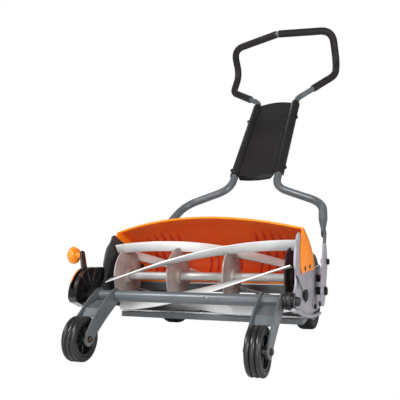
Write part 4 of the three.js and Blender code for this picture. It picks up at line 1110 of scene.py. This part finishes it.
def white_floor():
    """A pale floor that looks white to the camera while lighting the mower only softly."""
    material = bpy.data.materials.new("floor_white")
    material.use_nodes = True
    tree = material.node_tree
    shader = tree.nodes["Principled BSDF"]
    shader.inputs["Base Color"].default_value = (0.82, 0.82, 0.82, 1)
    shader.inputs["Roughness"].default_value = 0.9
    glow = put(tree, "ShaderNodeEmission", {"Strength": FLOOR_GLOW})
    seen = put(tree, "ShaderNodeLightPath").outputs["Is Camera Ray"]
    both = tree.nodes.new("ShaderNodeMixShader")
    tree.links.new(seen, both.inputs[0])
    tree.links.new(shader.outputs[0], both.inputs[1])
    tree.links.new(glow.outputs[0], both.inputs[2])
    tree.links.new(both.outputs[0], tree.nodes["Material Output"].inputs["Surface"])
    return material


mesh = bpy.data.meshes.new("floor")
corners = [(-1, -1), (1, -1), (1, 1), (-1, 1)]
mesh.from_pydata([(FLOOR_HALF * x, FLOOR_HALF * y, FLOOR_Z) for x, y in corners], [],
                 [(0, 1, 2, 3)])
mesh.materials.append(white_floor())
floor = bpy.data.objects.new("floor", mesh)
bpy.context.scene.collection.objects.link(floor)

world = bpy.data.worlds.new("white_room")
world.use_nodes = True
room = world.node_tree
seen = put(room, "ShaderNodeLightPath").outputs["Is Camera Ray"]
level = ranged(room, seen, 0.0, 1.0, ROOM_LIGHT, ROOM_SEEN)
room.links.new(level, room.nodes["Background"].inputs["Strength"])
room.nodes["Background"].inputs["Color"].default_value = (1, 1, 1, 1)
bpy.context.scene.world = world
bpy.context.scene.view_settings.view_transform = "Standard"


def soft_light(name, place, target, size, power):
    """A square area light aimed at a point; places in metres from the reel's ground point."""
    data = bpy.data.lights.new(name, "AREA")
    data.size, data.energy = size, power
    light = bpy.data.objects.new(name, data)
    bpy.context.scene.collection.objects.link(light)
    start, end = np.array(place), np.array(target)
    light.location = ORIGIN + start
    back = (start - end) / np.linalg.norm(start - end)
    right = np.cross([0, 0, 1], back)
    right /= np.linalg.norm(right)
    turn = Matrix(np.column_stack([right, np.cross(back, right), back]).tolist())
    light.rotation_euler = turn.to_euler()


soft_light("key", (-1.2, -1.7, 2.3), (0, 0.2, 0.3), 0.8, 66)
soft_light("right_fill", (2.2, -1.2, 1.0), (0, 0.2, 0.3), 0.8, 34)
soft_light("front_fill", (0.25, -1.9, 0.42), (0, 0.1, 0.22), 1.1, 14)
soft_light("back_rim", (-0.6, 2.6, 1.8), (0, 0.3, 0.4), 1.4, 30)

CAMERA_PLACE = np.array([474.0, -1200.0, 276.0])
FOCAL_LENGTH, SENSOR_WIDTH = 47.24, 36.0
YAW, PITCH, ROLL = math.radians(21.9), math.radians(-3.3), math.radians(-1.12)
back = np.array([math.sin(YAW) * math.cos(PITCH), -math.cos(YAW) * math.cos(PITCH),
                 math.sin(PITCH)])
right = np.array([math.cos(YAW), math.sin(YAW), 0.0])
up = np.cross(back, right)
right, up = (math.cos(ROLL) * right + math.sin(ROLL) * up,
             -math.sin(ROLL) * right + math.cos(ROLL) * up)
lens = bpy.data.cameras.new("camera")
lens.lens, lens.sensor_width = FOCAL_LENGTH, SENSOR_WIDTH
lens.clip_end = 50
camera = bpy.data.objects.new("camera", lens)
bpy.context.scene.collection.objects.link(camera)
turn = Matrix(np.column_stack([right, up, back]).tolist()).to_4x4()
camera.matrix_world = Matrix.Translation(ORIGIN + CAMERA_PLACE * MM) @ turn
bpy.context.scene.camera = camera
